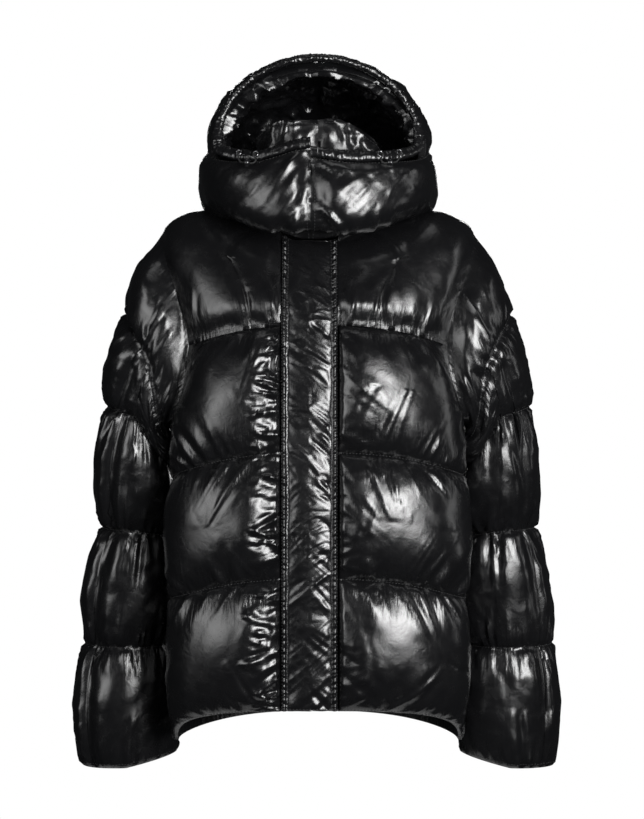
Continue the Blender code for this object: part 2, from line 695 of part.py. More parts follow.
def channel_frames(count):
    """Points along the channel with their outward and forward directions."""
    line = evenly(opening_line(), count)[:-1]
    frames = []
    for k, point in enumerate(line):
        along = (line[(k + 1) % count] - line[k - 1]).normalized()
        forward = Vector((0, -1, OPENING_LEAN))
        forward = (forward - along * forward.dot(along)).normalized()
        outward = along.cross(forward) * -1
        if outward.dot(point - Vector((0, point.y, OPENING_Z))) < 0:
            outward = -outward
        frames.append((point, outward, forward))
    return frames


def build_channel(shell):
    """The gathered tube round the face, slit at the front where the hood's halves meet."""
    frames = channel_frames(CHANNEL_STEPS)
    mesh = bmesh.new()
    rings = []
    slits = [CHANNEL_SLIT] + [0.0] * (len(frames) - 1) + [-CHANNEL_SLIT]
    for k, ((point, outward, forward), slit) in enumerate(zip(frames + frames[:1], slits)):
        radial = CHANNEL_RADIAL + CHANNEL_GATHER * (-1) ** k
        ring = []
        for corner in range(CHANNEL_SIDES):
            turn = math.tau * (corner + 0.5) / CHANNEL_SIDES
            offset = outward * radial * math.cos(turn) + forward * CHANNEL_FORWARD * math.sin(turn)
            ring.append(mesh.verts.new(point + offset + Vector((slit, 0, 0))))
        rings.append(ring)
    for a, b in zip(rings, rings[1:]):
        for corner in range(CHANNEL_SIDES):
            after = (corner + 1) % CHANNEL_SIDES
            mesh.faces.new((a[corner], a[after], b[after], b[corner]))
    mesh.faces.new(rings[0])
    mesh.faces.new(rings[-1][::-1])
    face_outwards(mesh)
    data = bpy.data.meshes.new("hood_channel")
    mesh.to_mesh(data)
    mesh.free()
    add_object("hood_channel", data, shell, 60)


# ---- small parts ---------------------------------------------------------------------------------
def channel_front(x):
    """The middle of the channel's front face below the face opening, and the way that it faces."""
    frames = [f for f in channel_frames(400) if f[0].z < OPENING_Z]
    point, outward, forward = min(frames, key=lambda frame: abs(frame[0].x - x))
    return point + forward * CHANNEL_FORWARD * math.cos(math.radians(22.5)), outward, forward


def turned(name, section, centre, axis, material, steps=14):
    """A closed ring: a section of (radius, along) pairs turned about an axis through centre."""
    mesh = bmesh.new()
    verts = [mesh.verts.new((radius, 0, along)) for radius, along in section]
    edges = [mesh.edges.new((verts[k], verts[(k + 1) % len(verts)])) for k in range(len(verts))]
    bmesh.ops.spin(
        mesh, geom=verts + edges, axis=(0, 0, 1), cent=(0, 0, 0), steps=steps, angle=math.tau, use_merge=True
    )
    bmesh.ops.remove_doubles(mesh, verts=mesh.verts[:], dist=1e-6)
    face_outwards(mesh)
    data = bpy.data.meshes.new(name)
    mesh.to_mesh(data)
    mesh.free()
    thing = add_object(name, data, material, 70)
    thing.location = centre
    thing.rotation_mode = "QUATERNION"
    thing.rotation_quaternion = Vector((0, 0, 1)).rotation_difference(axis)
    return thing


def circle_section(radius, wire, count):
    angles = [math.tau * k / count for k in range(count)]
    return [(radius + wire * math.cos(a), wire * math.sin(a)) for a in angles]


def build_eyelets(metal):
    for name, x in EYELET_X.items():
        point, _, forward = channel_front(x)
        centre = point + forward * (EYELET_WIRE_RADIUS + 2 * HALF_GAP)
        section = circle_section(EYELET_MIDDLE_RADIUS, EYELET_WIRE_RADIUS, 6)
        turned(f"eyelet_{name}", section, centre, forward, metal)


def stopper_centre(inner, outer):
    return inner.lerp(outer, 0.5) + Vector(STOPPER_HANGS)


Spot = namedtuple("Spot", "x y z")


def smooth_route(points, count):
    """Points on a Catmull-Rom curve through the route's own points."""
    spots = [Spot(*point) for point in points]
    return [Vector(between_rows(spots, place)) for place in even(count, 0, len(points) - 1)]


def build_cords(cord_material, plastic):
    for _, word in SIDES:
        outer, _, outer_way = channel_front(EYELET_X[f"{word}_outer"])
        inner, _, inner_way = channel_front(EYELET_X[f"{word}_inner"])
        centre = stopper_centre(inner, outer)
        across = (inner - outer).normalized()
        route = (
            outer + outer_way * 0.0008,
            outer + outer_way * 0.0055 + (centre - outer).normalized() * 0.0026,
            outer.lerp(centre, 0.72) + Vector((0, -0.0020, 0.0010)) - across * 0.0090,
            centre - across * (STOPPER_HALF_LENGTH + 0.0040),
            centre - across * STOPPER_HALF_LENGTH * 0.3,
            centre + across * STOPPER_HALF_LENGTH * 0.3,
            centre + across * (STOPPER_HALF_LENGTH + 0.0040),
            inner.lerp(centre, 0.72) + Vector((0, -0.0020, 0.0010)) + across * 0.0090,
            inner + inner_way * 0.0055 + (centre - inner).normalized() * 0.0026,
            inner + inner_way * 0.0008,
        )
        curve = bpy.data.curves.new(f"cord_{word}", "CURVE")
        curve.dimensions = "3D"
        curve.bevel_depth = CORD_RADIUS
        curve.bevel_resolution = 2
        curve.use_fill_caps = True
        line = curve.splines.new("POLY")
        points = evenly(smooth_route(route, 200), 24)
        line.points.add(len(points) - 1)
        for spot, point in zip(line.points, points):
            spot.co = (*point, 1)
        curve.materials.append(cord_material)
        thing = bpy.data.objects.new(f"cord_{word}", curve)
        bpy.context.scene.collection.objects.link(thing)
        bore, outside, half = STOPPER_BORE, STOPPER_RADIUS, STOPPER_HALF_LENGTH
        section = [(bore, -half), (outside * 0.75, -half * 0.92), (outside, -half * 0.35)]  # a round bead
        section += [(radius, -along) for radius, along in section[::-1]]
        turned(f"stopper_{word}", section, centre, across, plastic)


# ---- materials and build -------------------------------------------------------------------------
def finish(name, colour, roughness, metallic=0.0):
    material = bpy.data.materials.new(name)
    material.use_nodes = True
    surface = material.node_tree.nodes["Principled BSDF"]
    surface.inputs["Base Color"].default_value = (*colour, 1)
    surface.inputs["Roughness"].default_value = roughness
    surface.inputs["Metallic"].default_value = metallic
    return material


def main():
    for thing in list(bpy.data.objects):
        bpy.data.objects.remove(thing)
    shell = finish("gloss_nylon", (0.010, 0.010, 0.011), 0.18)
    metal = finish("eyelet_metal", (0.35, 0.35, 0.36), 0.25, 1.0)
    plastic = finish("stopper_plastic", (0.012, 0.012, 0.012), 0.2)
    cord_material = finish("elastic_cord", (0.015, 0.015, 0.015), 0.7)
    build_torso(shell)
    build_flap(shell)
    build_sleeves(shell)
    build_collar(shell)
    build_hood(shell)
    build_channel(shell)
    build_eyelets(metal)
    build_cords(cord_material, plastic)


main()
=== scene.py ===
"""Dresses the hooded puffer jacket: filled panels gathered at their seams, cords, eyelets and thread.

Metres, +Z up, the front towards -Y, the wearer's left towards +X. Each sewn panel starts as a grid on a
shared surface, is blown up as cloth held at its seams, and is closed to a wall with a plain inside.
"""

import math
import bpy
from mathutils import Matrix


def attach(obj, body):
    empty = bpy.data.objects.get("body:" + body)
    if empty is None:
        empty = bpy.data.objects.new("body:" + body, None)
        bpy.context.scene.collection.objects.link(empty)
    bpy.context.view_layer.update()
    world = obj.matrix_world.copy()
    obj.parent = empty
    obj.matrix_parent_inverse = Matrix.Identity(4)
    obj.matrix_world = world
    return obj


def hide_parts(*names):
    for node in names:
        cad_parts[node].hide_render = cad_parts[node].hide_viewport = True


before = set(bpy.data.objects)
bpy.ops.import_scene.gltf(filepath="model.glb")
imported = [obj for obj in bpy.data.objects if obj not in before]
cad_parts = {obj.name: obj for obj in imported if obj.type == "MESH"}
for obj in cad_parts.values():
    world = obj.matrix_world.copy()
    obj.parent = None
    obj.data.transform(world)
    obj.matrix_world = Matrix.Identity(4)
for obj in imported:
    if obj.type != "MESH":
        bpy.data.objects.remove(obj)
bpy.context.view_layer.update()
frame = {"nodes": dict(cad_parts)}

import zlib
from collections import namedtuple

import bmesh
import bpy
import numpy as np
from mathutils import Matrix, Vector

bl_info = {
    "name": "Puffer jacket",
    "version": (1, 0, 0),
    "blender": (4, 5, 0),
    "location": "3D View > Sidebar > Jacket",
    "description": "Makes the panels, seams and small parts of a hooded puffer jacket",
    "category": "Object",
}

SIDES = ((-1, "right"), (1, "left"))

# ---- shapes that the solids share ----------------------------------------------------------------
HALF_GAP = 0.00016
SEAM_WALL = 0.0036
NECK_WALL = 0.0080
SQUARENESS = 2.5
FLAP_RIGHT, FLAP_LEFT = 0.046, 0.025
FRONT_PUFF, SIDE_PUFF, BACK_PUFF = 0.030, 0.010, 0.026
YOKE_PUFF, YOKE_NECK_PUFF = 0.013, 0.003
SLEEVE_PUFF, SLEEVE_OUTER_PUFF, SLEEVE_UNDER_PUFF = 0.015, 0.008, 0.002
HOOD_PUFF, CROWN_PUFF = 0.010, 0.008

Ring = namedtuple("Ring", "front_z side_z back_z half_width front_y back_y side_y flat", defaults=(0.0,))
FRONT_Z, SIDE_Z, BACK_Z, HALF_WIDTH, FRONT_Y, BACK_Y, SIDE_Y, FLAT = range(8)
TORSO = (
    Ring(-0.629, -0.674, -0.656, 0.179, -0.126, 0.104, -0.055, 1.0),
    Ring(-0.463, -0.492, -0.484, 0.184, -0.136, 0.114, -0.060),
    Ring(-0.306, -0.336, -0.320, 0.182, -0.137, 0.117, -0.055),
    Ring(-0.147, -0.176, -0.152, 0.173, -0.121, 0.108, -0.020),
    Ring(-0.075, -0.027, -0.042, 0.190, -0.098, 0.090, 0.000),
    Ring(-0.038, 0.003, -0.004, 0.087, -0.077, 0.067, 0.000),
    Ring(-0.028, 0.013, 0.006, 0.085, -0.074, 0.064, 0.000),
)
HEM, WAIST, CHEST, YOKE, SHOULDER, NECK_FOOT, NECK = range(7)
NECK_TURNS = 0.3  # of a level, below the neck's foot, in which the wall turns up into the neck
NECK_SLANT = 0.75
ARMPIT_LEVEL = 2.45
ARMHOLE_MIDDLE = (ARMPIT_LEVEL + SHOULDER) / 2
ARMHOLE_HALF = (SHOULDER - ARMPIT_LEVEL) / 2
ARMHOLE_REACH = 0.13
ARMHOLE_CENTRE_Y, ARMHOLE_FILL = -0.004, 0.010
SLEEVE_SEAM_ANGLE = 72.0
UNDERARM_BACK, UNDERARM_OUT, UNDERARM_UP = 0.5, 0.012, 0.005
SQUARE_MOST, SQUARE_LEAST = 0.0160, 0.0070  # how much fuller the front of a sleeve is on each side

Cuffwise = namedtuple(
    "Cuffwise", "outer_x outer_z middle_x middle_z under_x under_z y half_depth seam_angle"
)
OUTER_X, OUTER_Z, MIDDLE_X, MIDDLE_Z, UNDER_X, UNDER_Z, RING_Y, HALF_DEPTH = range(8)
SLEEVE = (
    Cuffwise(0.246, -0.128, 0.212, -0.196, 0.200, -0.302, 0.008, 0.068, 74),
    Cuffwise(0.273, -0.248, 0.232, -0.262, 0.194, -0.336, 0.042, 0.072, 66),
    Cuffwise(0.282, -0.408, 0.237, -0.410, 0.192, -0.418, 0.070, 0.073, 56),
    Cuffwise(0.306, -0.562, 0.249, -0.562, 0.192, -0.562, 0.077, 0.070, 51),
    Cuffwise(0.309, -0.722, 0.251, -0.720, 0.192, -0.705, 0.072, 0.058, 50),
)
CUFF = len(SLEEVE)

HOOD = (
    Ring(-0.0271, 0.0139, 0.0069, 0.0896, -0.0786, 0.0686, 0.000),
    Ring(-0.012, 0.028, 0.021, 0.097, -0.090, 0.078, 0.000),
    Ring(-0.022, 0.026, 0.014, 0.124, -0.126, 0.110, 0.000),
    Ring(-0.022, 0.029, 0.024, 0.138, -0.148, 0.130, -0.010),
    Ring(0.015, 0.052, 0.050, 0.139, -0.153, 0.140, -0.030),
    Ring(0.053, 0.079, 0.082, 0.133, -0.1455, 0.140, -0.050, 1.0),
)
HOOD_TOP = len(HOOD) - 1
CROWN_HEIGHT, CROWN_BACK, RIM_WALL = 0.106, 0.085, 0.0080
OPENING_HALF_WIDTH, OPENING_RISE, OPENING_DROP = 0.127, 0.103, 0.026
OPENING_Z, OPENING_FRONT_Y, OPENING_LEAN, OPENING_CURVE = 0.088, -0.150, 0.349, 2.54
CHANNEL_RADIAL, CHANNEL_FORWARD = 0.0085, 0.0055
COLLAR = (
    Ring(-0.0271, 0.0139, 0.0069, 0.085, -0.074, 0.064, 0.000),
    Ring(0.040, 0.040, 0.038, 0.083, -0.094, 0.062, -0.010),
    Ring(0.112, 0.076, 0.070, 0.080, -0.106, 0.056, -0.020),
)
EYELET_X = {"right_outer": -0.0966, "right_inner": -0.0761, "left_inner": 0.0761, "left_outer": 0.0998}
EYELET_RADIUS, EYELET_WIRE = 0.0034, 0.0010
CORD_RADIUS = 0.0010
CORD_START, CORD_OUT, CORD_TURN = 0.0008, 0.0055, 0.0026  # before its eyelet, straight out, to the stopper
CORD_BOW_AT, CORD_BOW, CORD_SAG = 0.72, 0.0090, (0, -0.0020, 0.0010)
STOPPER_HANGS = (0.0, -0.020, -0.013)
STOPPER_BORE, STOPPER_RADIUS, STOPPER_HALF_LENGTH = 0.0014, 0.0048, 0.0042
STOPPER_ARC = 62  # degrees of its round side, up and down from the middle
STOPPER_CLEAR = 0.0040  # how far past the stopper's ends a cord runs straight
FLAP_WALL = 0.0075
FRONT_WIDTH = 0.22  # of one front, from the flap to the side
FLAP_STITCH_OUT, FLAP_STITCH_IN = 0.0016, 0.0085  # from the flap's edge
FLAP_RIDGE, WELT_DEPTH, WELT_PITCH = 0.0034, 0.0011, 0.0062  # the ridge beside the edge, and its tucks
FLAP_FILLING = 0.0012

# ---- cloth ---------------------------------------------------------------------------------------
BAFFLE_LENGTH = 0.16  # the usual distance between two seams across
START_FILL = 0.88  # how full a panel starts, of its solid's filling, before it is blown up
GATHER_STEPS = 20  # how many strengths of gathering are told apart
MASS = 0.12  # of a grid point; the pressure is a force on each point
PAST_CAP = 0.15  # the share that stays of what goes past a panel's cap
THINNEST_WALL = 0.0022
SHARP_ANGLE = 75  # degrees, from which an edge is shaded sharp
NEAR = 0.002  # the distance between surface points that a direction is taken from, in turns or levels
SEAM_REACH = 0.34  # of a baffle, in which the gathers beside a seam fade
YOKE_PLAIN = 3.5  # the level above which a yoke has no gathers
waiting = []  # panels that are cut, as dictionaries of their points
Lay = namedtuple(
    "Lay", "inner out height back held spare lining shift", defaults=(0.0, False, 0.0, 0.0, 0.0)
)

# Uneven relief: its depth and width in metres, and for creases the height that counts as level.
Relief = namedtuple("Relief", "depth size level", defaults=(0.0,))
SEED = Relief(0.0003, 0.03)  # what the cloth starts to fold from
BODY_LUMPS, YOKE_LUMPS = Relief(0.0010, 0.07), Relief(0.0008, 0.05)
STRIP_CREASES = Relief(0.0120, 0.066, 0.2)
FLAP_CREASES, FLAP_LUMPS = Relief(0.0032, 0.062, 0.25), Relief(0.0012, 0.05)
ARM_CREASES, SLEEVE_CREASES, SLEEVE_LUMPS = (
    Relief(0.0036, 0.075, 0.25), Relief(0.0036, 0.085, 0.25), Relief(0.0010, 0.07)
)
BRIM_CREASES, FUNNEL_FINE, FUNNEL_LUMPS = (
    Relief(0.0065, 0.05, 0.2), Relief(0.0012, 0.030, 0.2), Relief(0.0016, 0.09)
)
FUNNEL_CREASES = {"right": Relief(0.0016, 0.085, 0.25), "left": Relief(0.0030, 0.085, 0.25)}
CROWN_CREASES, CROWN_LUMPS = Relief(0.0050, 0.06, 0.2), Relief(0.0016, 0.045)
GATHERS = ((0.010, 0.0013, 0.013), (0.019, 0.0029, 0.030), (0.033, 0.0026, 0.056))  # pitch, depth, reach
OCTAVES = ((1.0, 0.62), (1.9, 0.26), (3.4, 0.12))  # of creases: how much finer each is, and its share
RIPPLE_WAVES, WANDER_WAVES = 14, 7


def smooth(x):
    x = np.clip(x, 0.0, 1.0)
    return x * x * (3 - 2 * x)


def mix(a, b, t):
    return a + (b - a) * t


def unit(v):
    return v / np.maximum(np.linalg.norm(v, axis=-1, keepdims=True), 1e-12)


def bell(x, middle, width):
    """1 at the middle, fading evenly on both sides."""
    return np.exp(-(((x - middle) / width) ** 2))


def between(rows, level):
    """Rows at levels that may lie between two, on a Catmull-Rom curve through each column."""
    rows = np.asarray(rows, float)
    last = len(rows) - 1
    level = np.clip(level, 0.0, last)
    k = np.minimum(level.astype(int), last - 1)
    t = (level - k)[:, None]
    before, a, b, after = rows[np.maximum(k - 1, 0)], rows[k], rows[k + 1], rows[np.minimum(k + 2, last)]
    return (
        (-t + 2 * t**2 - t**3) * before
        + (2 - 5 * t**2 + 3 * t**3) * a
        + (t + 4 * t**2 - 3 * t**3) * b
        + (-(t**2) + t**3) * after
    ) / 2


def ring_point(row, turn):
    """Points of rings. turn is 0 at the front, 0.5 at the left side, 1 at the back, 1.5 at the right."""
    across, along = np.sin(np.pi * turn), np.cos(np.pi * turn)
    power = 2 / SQUARENESS
    x = np.copysign(np.abs(across) ** power, across)
    front = along > 0
    depth = np.where(front, row[:, FRONT_Y], row[:, BACK_Y]) - row[:, SIDE_Y]
    drop = np.where(front, row[:, FRONT_Z], row[:, BACK_Z]) - row[:, SIDE_Z]
    flatter = np.cbrt(np.maximum(0.0, 1 - np.abs(x) ** 3))
    rounded = np.where(front, mix(along**2, flatter, row[:, FLAT]), along**2)
    y = row[:, SIDE_Y] + depth * np.abs(along) ** power
    return np.stack((row[:, HALF_WIDTH] * x, y, row[:, SIDE_Z] + drop * rounded), axis=1)


def torso(turn, level):
    shoulders = ring_point(between(TORSO[:NECK], level), turn)
    foot = ring_point(np.repeat([TORSO[NECK_FOOT]], len(turn), 0), turn)
    edge = ring_point(np.repeat([TORSO[NECK]], len(turn), 0), turn)
    above = np.clip(level - NECK_FOOT, 0, 1)[:, None]
    return np.where(above > 0, mix(foot, edge, above), shoulders)


def hood(turn, level):
    return ring_point(between(HOOD, level), turn)


def collar(turn, level):
    return ring_point(between(COLLAR, level), turn)


def normal_of(surface, a, b, low, high):
    """The outward normals of surface(a, b), where a runs to the left round the front and b runs up."""
    b0, b1 = np.maximum(low, b - NEAR), np.minimum(high, b + NEAR)
    around = surface(a + NEAR, b) - surface(a - NEAR, b)
    return unit(np.cross(around, surface(a, b1) - surface(a, b0)))


def level_direction(surface, turn, level):
    """The outward directions that lie level."""
    along = surface(turn + NEAR, level) - surface(turn - NEAR, level)
    return unit(np.stack((along[:, 1], -along[:, 0], np.zeros(len(turn))), axis=1))


def side_turn(level):
    """Where the side seam and the armhole's edge run."""
    height = np.clip((level - ARMHOLE_MIDDLE) / ARMHOLE_HALF, -1, 1)
    return 0.5 - ARMHOLE_REACH * np.sqrt(1 - height**2)


def flap_turn(level, half_width):
    """The turn at which the torso is that far from its middle."""
    ring = between(TORSO, level)
    return np.arcsin((half_width / ring[:, HALF_WIDTH]) ** (SQUARENESS / 2)) / np.pi


def baffle(place):
    """How full a baffle is between two seams at whole numbers, from 0 to 1."""
    t = place - np.floor(place)
    return np.maximum(0.0, 4 * t * (1 - t)) ** 0.55


# ---- uneven waves --------------------------------------------------------------------------------
def dice(name):
    """A random generator of a piece's own, the same in each run."""
    return np.random.default_rng(zlib.crc32(name.encode()))


def ripples(points, name, size):
    """Soft uneven lumps of about that size, between -1 and 1, over points in space."""
    draw = dice(name)
    total = np.zeros(len(points))
    for _ in range(RIPPLE_WAVES):
        way = unit(draw.normal(size=3)) * 2 * np.pi / (size * draw.uniform(0.7, 1.6))
        total += np.sin(points @ way + draw.uniform(0, 2 * np.pi))
    return total / math.sqrt(RIPPLE_WAVES)


def wander(x, name, size):
    """A smooth uneven line of about that wavelength, between -1 and 1, over distances in metres."""
    draw = dice(name)
    total = np.zeros(len(x))
    for _ in range(WANDER_WAVES):
        total += np.sin(x * 2 * np.pi / (size * draw.uniform(0.6, 1.9)) + draw.uniform(0, 2 * np.pi))
    return total / (WANDER_WAVES / 2)


def creases(points, name, size, stretch=(1, 1, 1)):
    """Sharp uneven ridges like those of crushed film, between 0 and 1. stretch squeezes them each way."""
    points = points * np.array(stretch)
    bends = [ripples(points, f"{name} bend {way}", size * 1.4) for way in "xyz"]
    bent = points + np.stack(bends, 1) * size * 0.25
    total = np.zeros(len(points))
    for octave, (finer, share) in enumerate(OCTAVES):
        field = ripples(bent, f"{name} {octave}", size / finer)
        total += share * np.maximum(0.0, 1 - np.abs(field) / 0.9) ** 1.6
    return total


def lumped(points, name, relief):
    return relief.depth * ripples(points, name, relief.size)


def creased(points, name, relief, stretch=(1, 1, 1)):
    return relief.depth * (creases(points, name, relief.size, stretch) - relief.level)


def folds(away, along, name):
    """Gathers that run out from a seam: away is the distance from it, along the place on it, in metres."""
    total = np.zeros(len(away))
    for pitch, depth, reach in GATHERS:
        word = f"{name} {pitch}"
        leaning = along + away * 0.35 * wander(along, word + " lean", pitch * 4)
        phase = leaning / pitch + 0.55 * wander(leaning, word + " step", pitch * 3)
        strength = np.clip(0.75 + 0.7 * wander(along, word + " deep", pitch * 2.7), 0, 1.6)
        length = reach * np.clip(0.9 + 0.7 * wander(along, word + " long", pitch * 1.9), 0.25, 1.9)
        ridge = 1 - 1.9 * np.abs(np.sin(np.pi * phase)) ** 0.8 if pitch < 0.03 else np.cos(2 * np.pi * phase)
        total += depth * strength * ridge * np.exp(-((away / length) ** 1.6))
    return total * smooth(away / 0.004)


def distance_along(points):
    """The distance of each point of a line from its start, along the line."""
    return np.append(0, np.cumsum(np.linalg.norm(np.diff(points, axis=0), axis=1)))


# ---- panels --------------------------------------------------------------------------------------
def placed(name, data):
    """A new object of that data, in the scene."""
    thing = bpy.data.objects.new(name, data)
    bpy.context.scene.collection.objects.link(thing)
    return thing


def cut(name, columns, rows, lay, spare=0.09, cap=0.010):
    """Cuts a panel as a grid of those columns and rows and lays it out, ready to be blown up."""
    grid = bmesh.new()
    bmesh.ops.create_grid(grid, x_segments=len(columns) - 1, y_segments=len(rows) - 1, size=1.0)
    number = grid.verts.layers.int.new("number")
    for count, vert in enumerate(grid.verts):
        vert[number] = count
    mesh = bpy.data.meshes.new(name)
    grid.to_mesh(mesh)
    grid.free()
    flat = np.zeros(len(mesh.vertices) * 3)
    mesh.vertices.foreach_get("co", flat)
    flat = flat.reshape(-1, 3)
    i = np.rint((flat[:, 0] + 1) / 2 * (len(columns) - 1)).astype(int)
    j = np.rint((flat[:, 1] + 1) / 2 * (len(rows) - 1)).astype(int)
    laid = lay(np.asarray(columns, float)[i], np.asarray(rows, float)[j])
    rim = (i == 0) | (i == len(columns) - 1) | (j == 0) | (j == len(rows) - 1)
    held = rim | laid.held
    inner = laid.inner + laid.back
    base = inner - laid.out * np.broadcast_to(laid.lining, held.shape)[:, None] + laid.shift
    lift = laid.height * np.where(held, 1.0, START_FILL)
    lift += lumped(inner, name + " seed", SEED) * ~held
    start = inner + laid.out * (SEAM_WALL + lift)[:, None]
    full = inner + laid.out * (SEAM_WALL + laid.height)[:, None]
    mesh.vertices.foreach_set("co", start.ravel())
    mesh.update()
    piece = placed(name + "_cloth", mesh)
    shell = made_material("gloss_nylon")
    mesh.materials.append(shell)
    mesh.materials.append(shell if name.startswith("hood") else made_material("lining"))
    piece.vertex_groups.new(name="held").add([int(k) for k in np.nonzero(held)[0]], 1.0, "REPLACE")
    gathered = piece.vertex_groups.new(name="gathered")
    share = np.rint(np.broadcast_to(laid.spare, held.shape) * GATHER_STEPS).astype(int)
    for amount in range(1, GATHER_STEPS + 1):
        gathered.add([int(k) for k in np.nonzero(share == amount)[0]], amount / GATHER_STEPS, "REPLACE")
    places = np.zeros((len(rows), len(columns), 3))
    places[j, i] = inner
    along, across = places[len(rows) // 2], places[:, len(columns) // 2]
    along, across = distance_along(along), distance_along(across)
    cloth_place = np.stack((along[i], across[j], np.broadcast_to(laid.spare, held.shape)), axis=1)
    mesh.attributes.new("cut", "FLOAT_VECTOR", "POINT").data.foreach_set("vector", cloth_place.ravel())
    waiting.append(
        dict(
            name=name, piece=piece, place=(j, i), inner=inner, base=base, full=full, out=laid.out, cap=cap,
            spare=spare, outer=start,
        )
    )
    ride(piece, "gloss_nylon", name)
    return piece


def add_cloth(panel):
    cloth = panel["piece"].modifiers.new("Cloth", "CLOTH")
    look = cloth.settings
    look.quality = 5
    look.mass = MASS
    look.air_damping = 2.0
    look.tension_stiffness = 18
    look.compression_stiffness = 18
    look.shear_stiffness = 6
    look.bending_stiffness = settings().stiffness
    look.use_pressure = True
    look.uniform_pressure_force = settings().filling
    look.shrink_min = -settings().ease
    look.shrink_max = -panel["spare"]
    look.vertex_group_shrink = "gathered"
    look.vertex_group_mass = "held"
    look.pin_stiffness = 1.0
    look.effector_weights.gravity = 0.0
    cloth.collision_settings.use_collision = False
    cloth.point_cache.frame_start = 1
    cloth.point_cache.frame_end = settings().cloth_frames


def blown_up(panels):
    """Runs the cloth of all the panels together and gives each one's outer points."""
    stage = bpy.context.scene
    for panel in panels:
        add_cloth(panel)
    for number in range(1, settings().cloth_frames + 1):
        stage.frame_set(number)
    seen = bpy.context.evaluated_depsgraph_get()
    for panel in panels:
        shown = panel["piece"].evaluated_get(seen)
        points = np.zeros(len(shown.data.vertices) * 3)
        shown.data.vertices.foreach_get("co", points)
        panel["outer"] = points.reshape(-1, 3)
    for panel in panels:
        panel["piece"].modifiers.clear()
    stage.frame_set(1)


def held_back(panel):
    """Keeps a blown-up panel near its solid and off its own inside."""
    full, inner, out = panel["full"], panel["inner"], panel["out"]
    moved = panel["outer"] - full
    far = np.linalg.norm(moved, axis=1, keepdims=True)
    cap = np.broadcast_to(np.asarray(panel["cap"], float).reshape(-1, 1), far.shape)
    kept = (cap + (far - cap) * PAST_CAP) / np.maximum(far, 1e-9)
    points = full + moved * np.where(far > cap, kept, 1.0)
    depth = ((points - inner) * out).sum(1, keepdims=True)
    return points + out * np.maximum(0.0, THINNEST_WALL - depth)


def close_wall(panel):
    """Turns a panel's sheet into a closed wall, with the outer points outside and the inner ones inside."""
    piece = panel["piece"]
    wall = bmesh.new()
    wall.from_mesh(piece.data)
    number = wall.verts.layers.int["number"]
    grown = bmesh.ops.extrude_face_region(wall, geom=wall.faces[:])
    outer = {item for item in grown["geom"] if isinstance(item, bmesh.types.BMVert)}
    for vert in wall.verts:
        vert.co = panel["outer" if vert in outer else "base"][vert[number]]
    for face in wall.faces:
        face.material_index = 0 if any(vert in outer for vert in face.verts) else 1
    bmesh.ops.recalc_face_normals(wall, faces=wall.faces[:])
    if wall.calc_volume(signed=True) < 0:
        bmesh.ops.reverse_faces(wall, faces=wall.faces[:])
    wall.to_mesh(piece.data)
    wall.free()
    piece.vertex_groups.clear()
    piece.data.shade_smooth()
    piece.data.set_sharp_from_angle(angle=math.radians(SHARP_ANGLE))
    return piece


def ride(piece, slot, *nodes):
    """Hangs the piece on the root body and hides the nodes that it stands for; slot is not used."""
    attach(piece, "root")
    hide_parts(*nodes)
    return piece


# ---- torso panels --------------------------------------------------------------------------------
def armhole_edge(turn, level, side):
    """The direction of the seam's wall on the armhole's edge, and the way back from the gap."""
    point = torso(turn, level)
    out = normal_of(torso, turn, level, HEM, NECK)
    height = mix(TORSO[YOKE].side_z, TORSO[SHOULDER].side_z, 0.2)
    away = point - np.array((side * TORSO[YOKE].half_width, ARMHOLE_CENTRE_Y, height))
    away = unit(away - out * (away * out).sum(1, keepdims=True))
    return unit(out + away), unit(away - out) * HALF_GAP


def armhole_fill(level):
    """How much thicker than a plain seam the armhole's edge is, most at the shoulder."""
    return ARMHOLE_FILL * smooth((level - YOKE) / 0.8)


def body_height(turn, level):
    """How far the filling pushes the torso's cloth out."""
    facing = np.cos(np.pi * turn)
    front = facing > 0
    middle = np.where(front, FRONT_PUFF, BACK_PUFF)
    narrowing = np.where(front, 0.8, 1.6)
    lower = mix(SIDE_PUFF, middle, np.abs(facing) ** narrowing) * baffle(level)
    near_neck = smooth((level - SHOULDER - 0.2) / 0.6)
    upper = mix(YOKE_PUFF, YOKE_NECK_PUFF, near_neck) * smooth((level - YOKE) / 0.26)
    upper = upper * (1 - 0.6 * np.maximum(0, facing) ** 2 * smooth((level - YOKE - 0.2) / 0.8))
    return np.where(level > YOKE, upper, lower)


def armhole_easing(level, share):
    """0 on the armhole's edge and 1 well away from it. share is 1 on that edge."""
    past = np.maximum(0.0, np.maximum(ARMPIT_LEVEL - level, level - SHOULDER))
    return smooth(np.hypot((1 - share) / 0.3, past / 0.4))


def beside_armhole(level, eased):
    return armhole_fill(level) * (1 - eased) * smooth((4.5 - level) / 0.4)


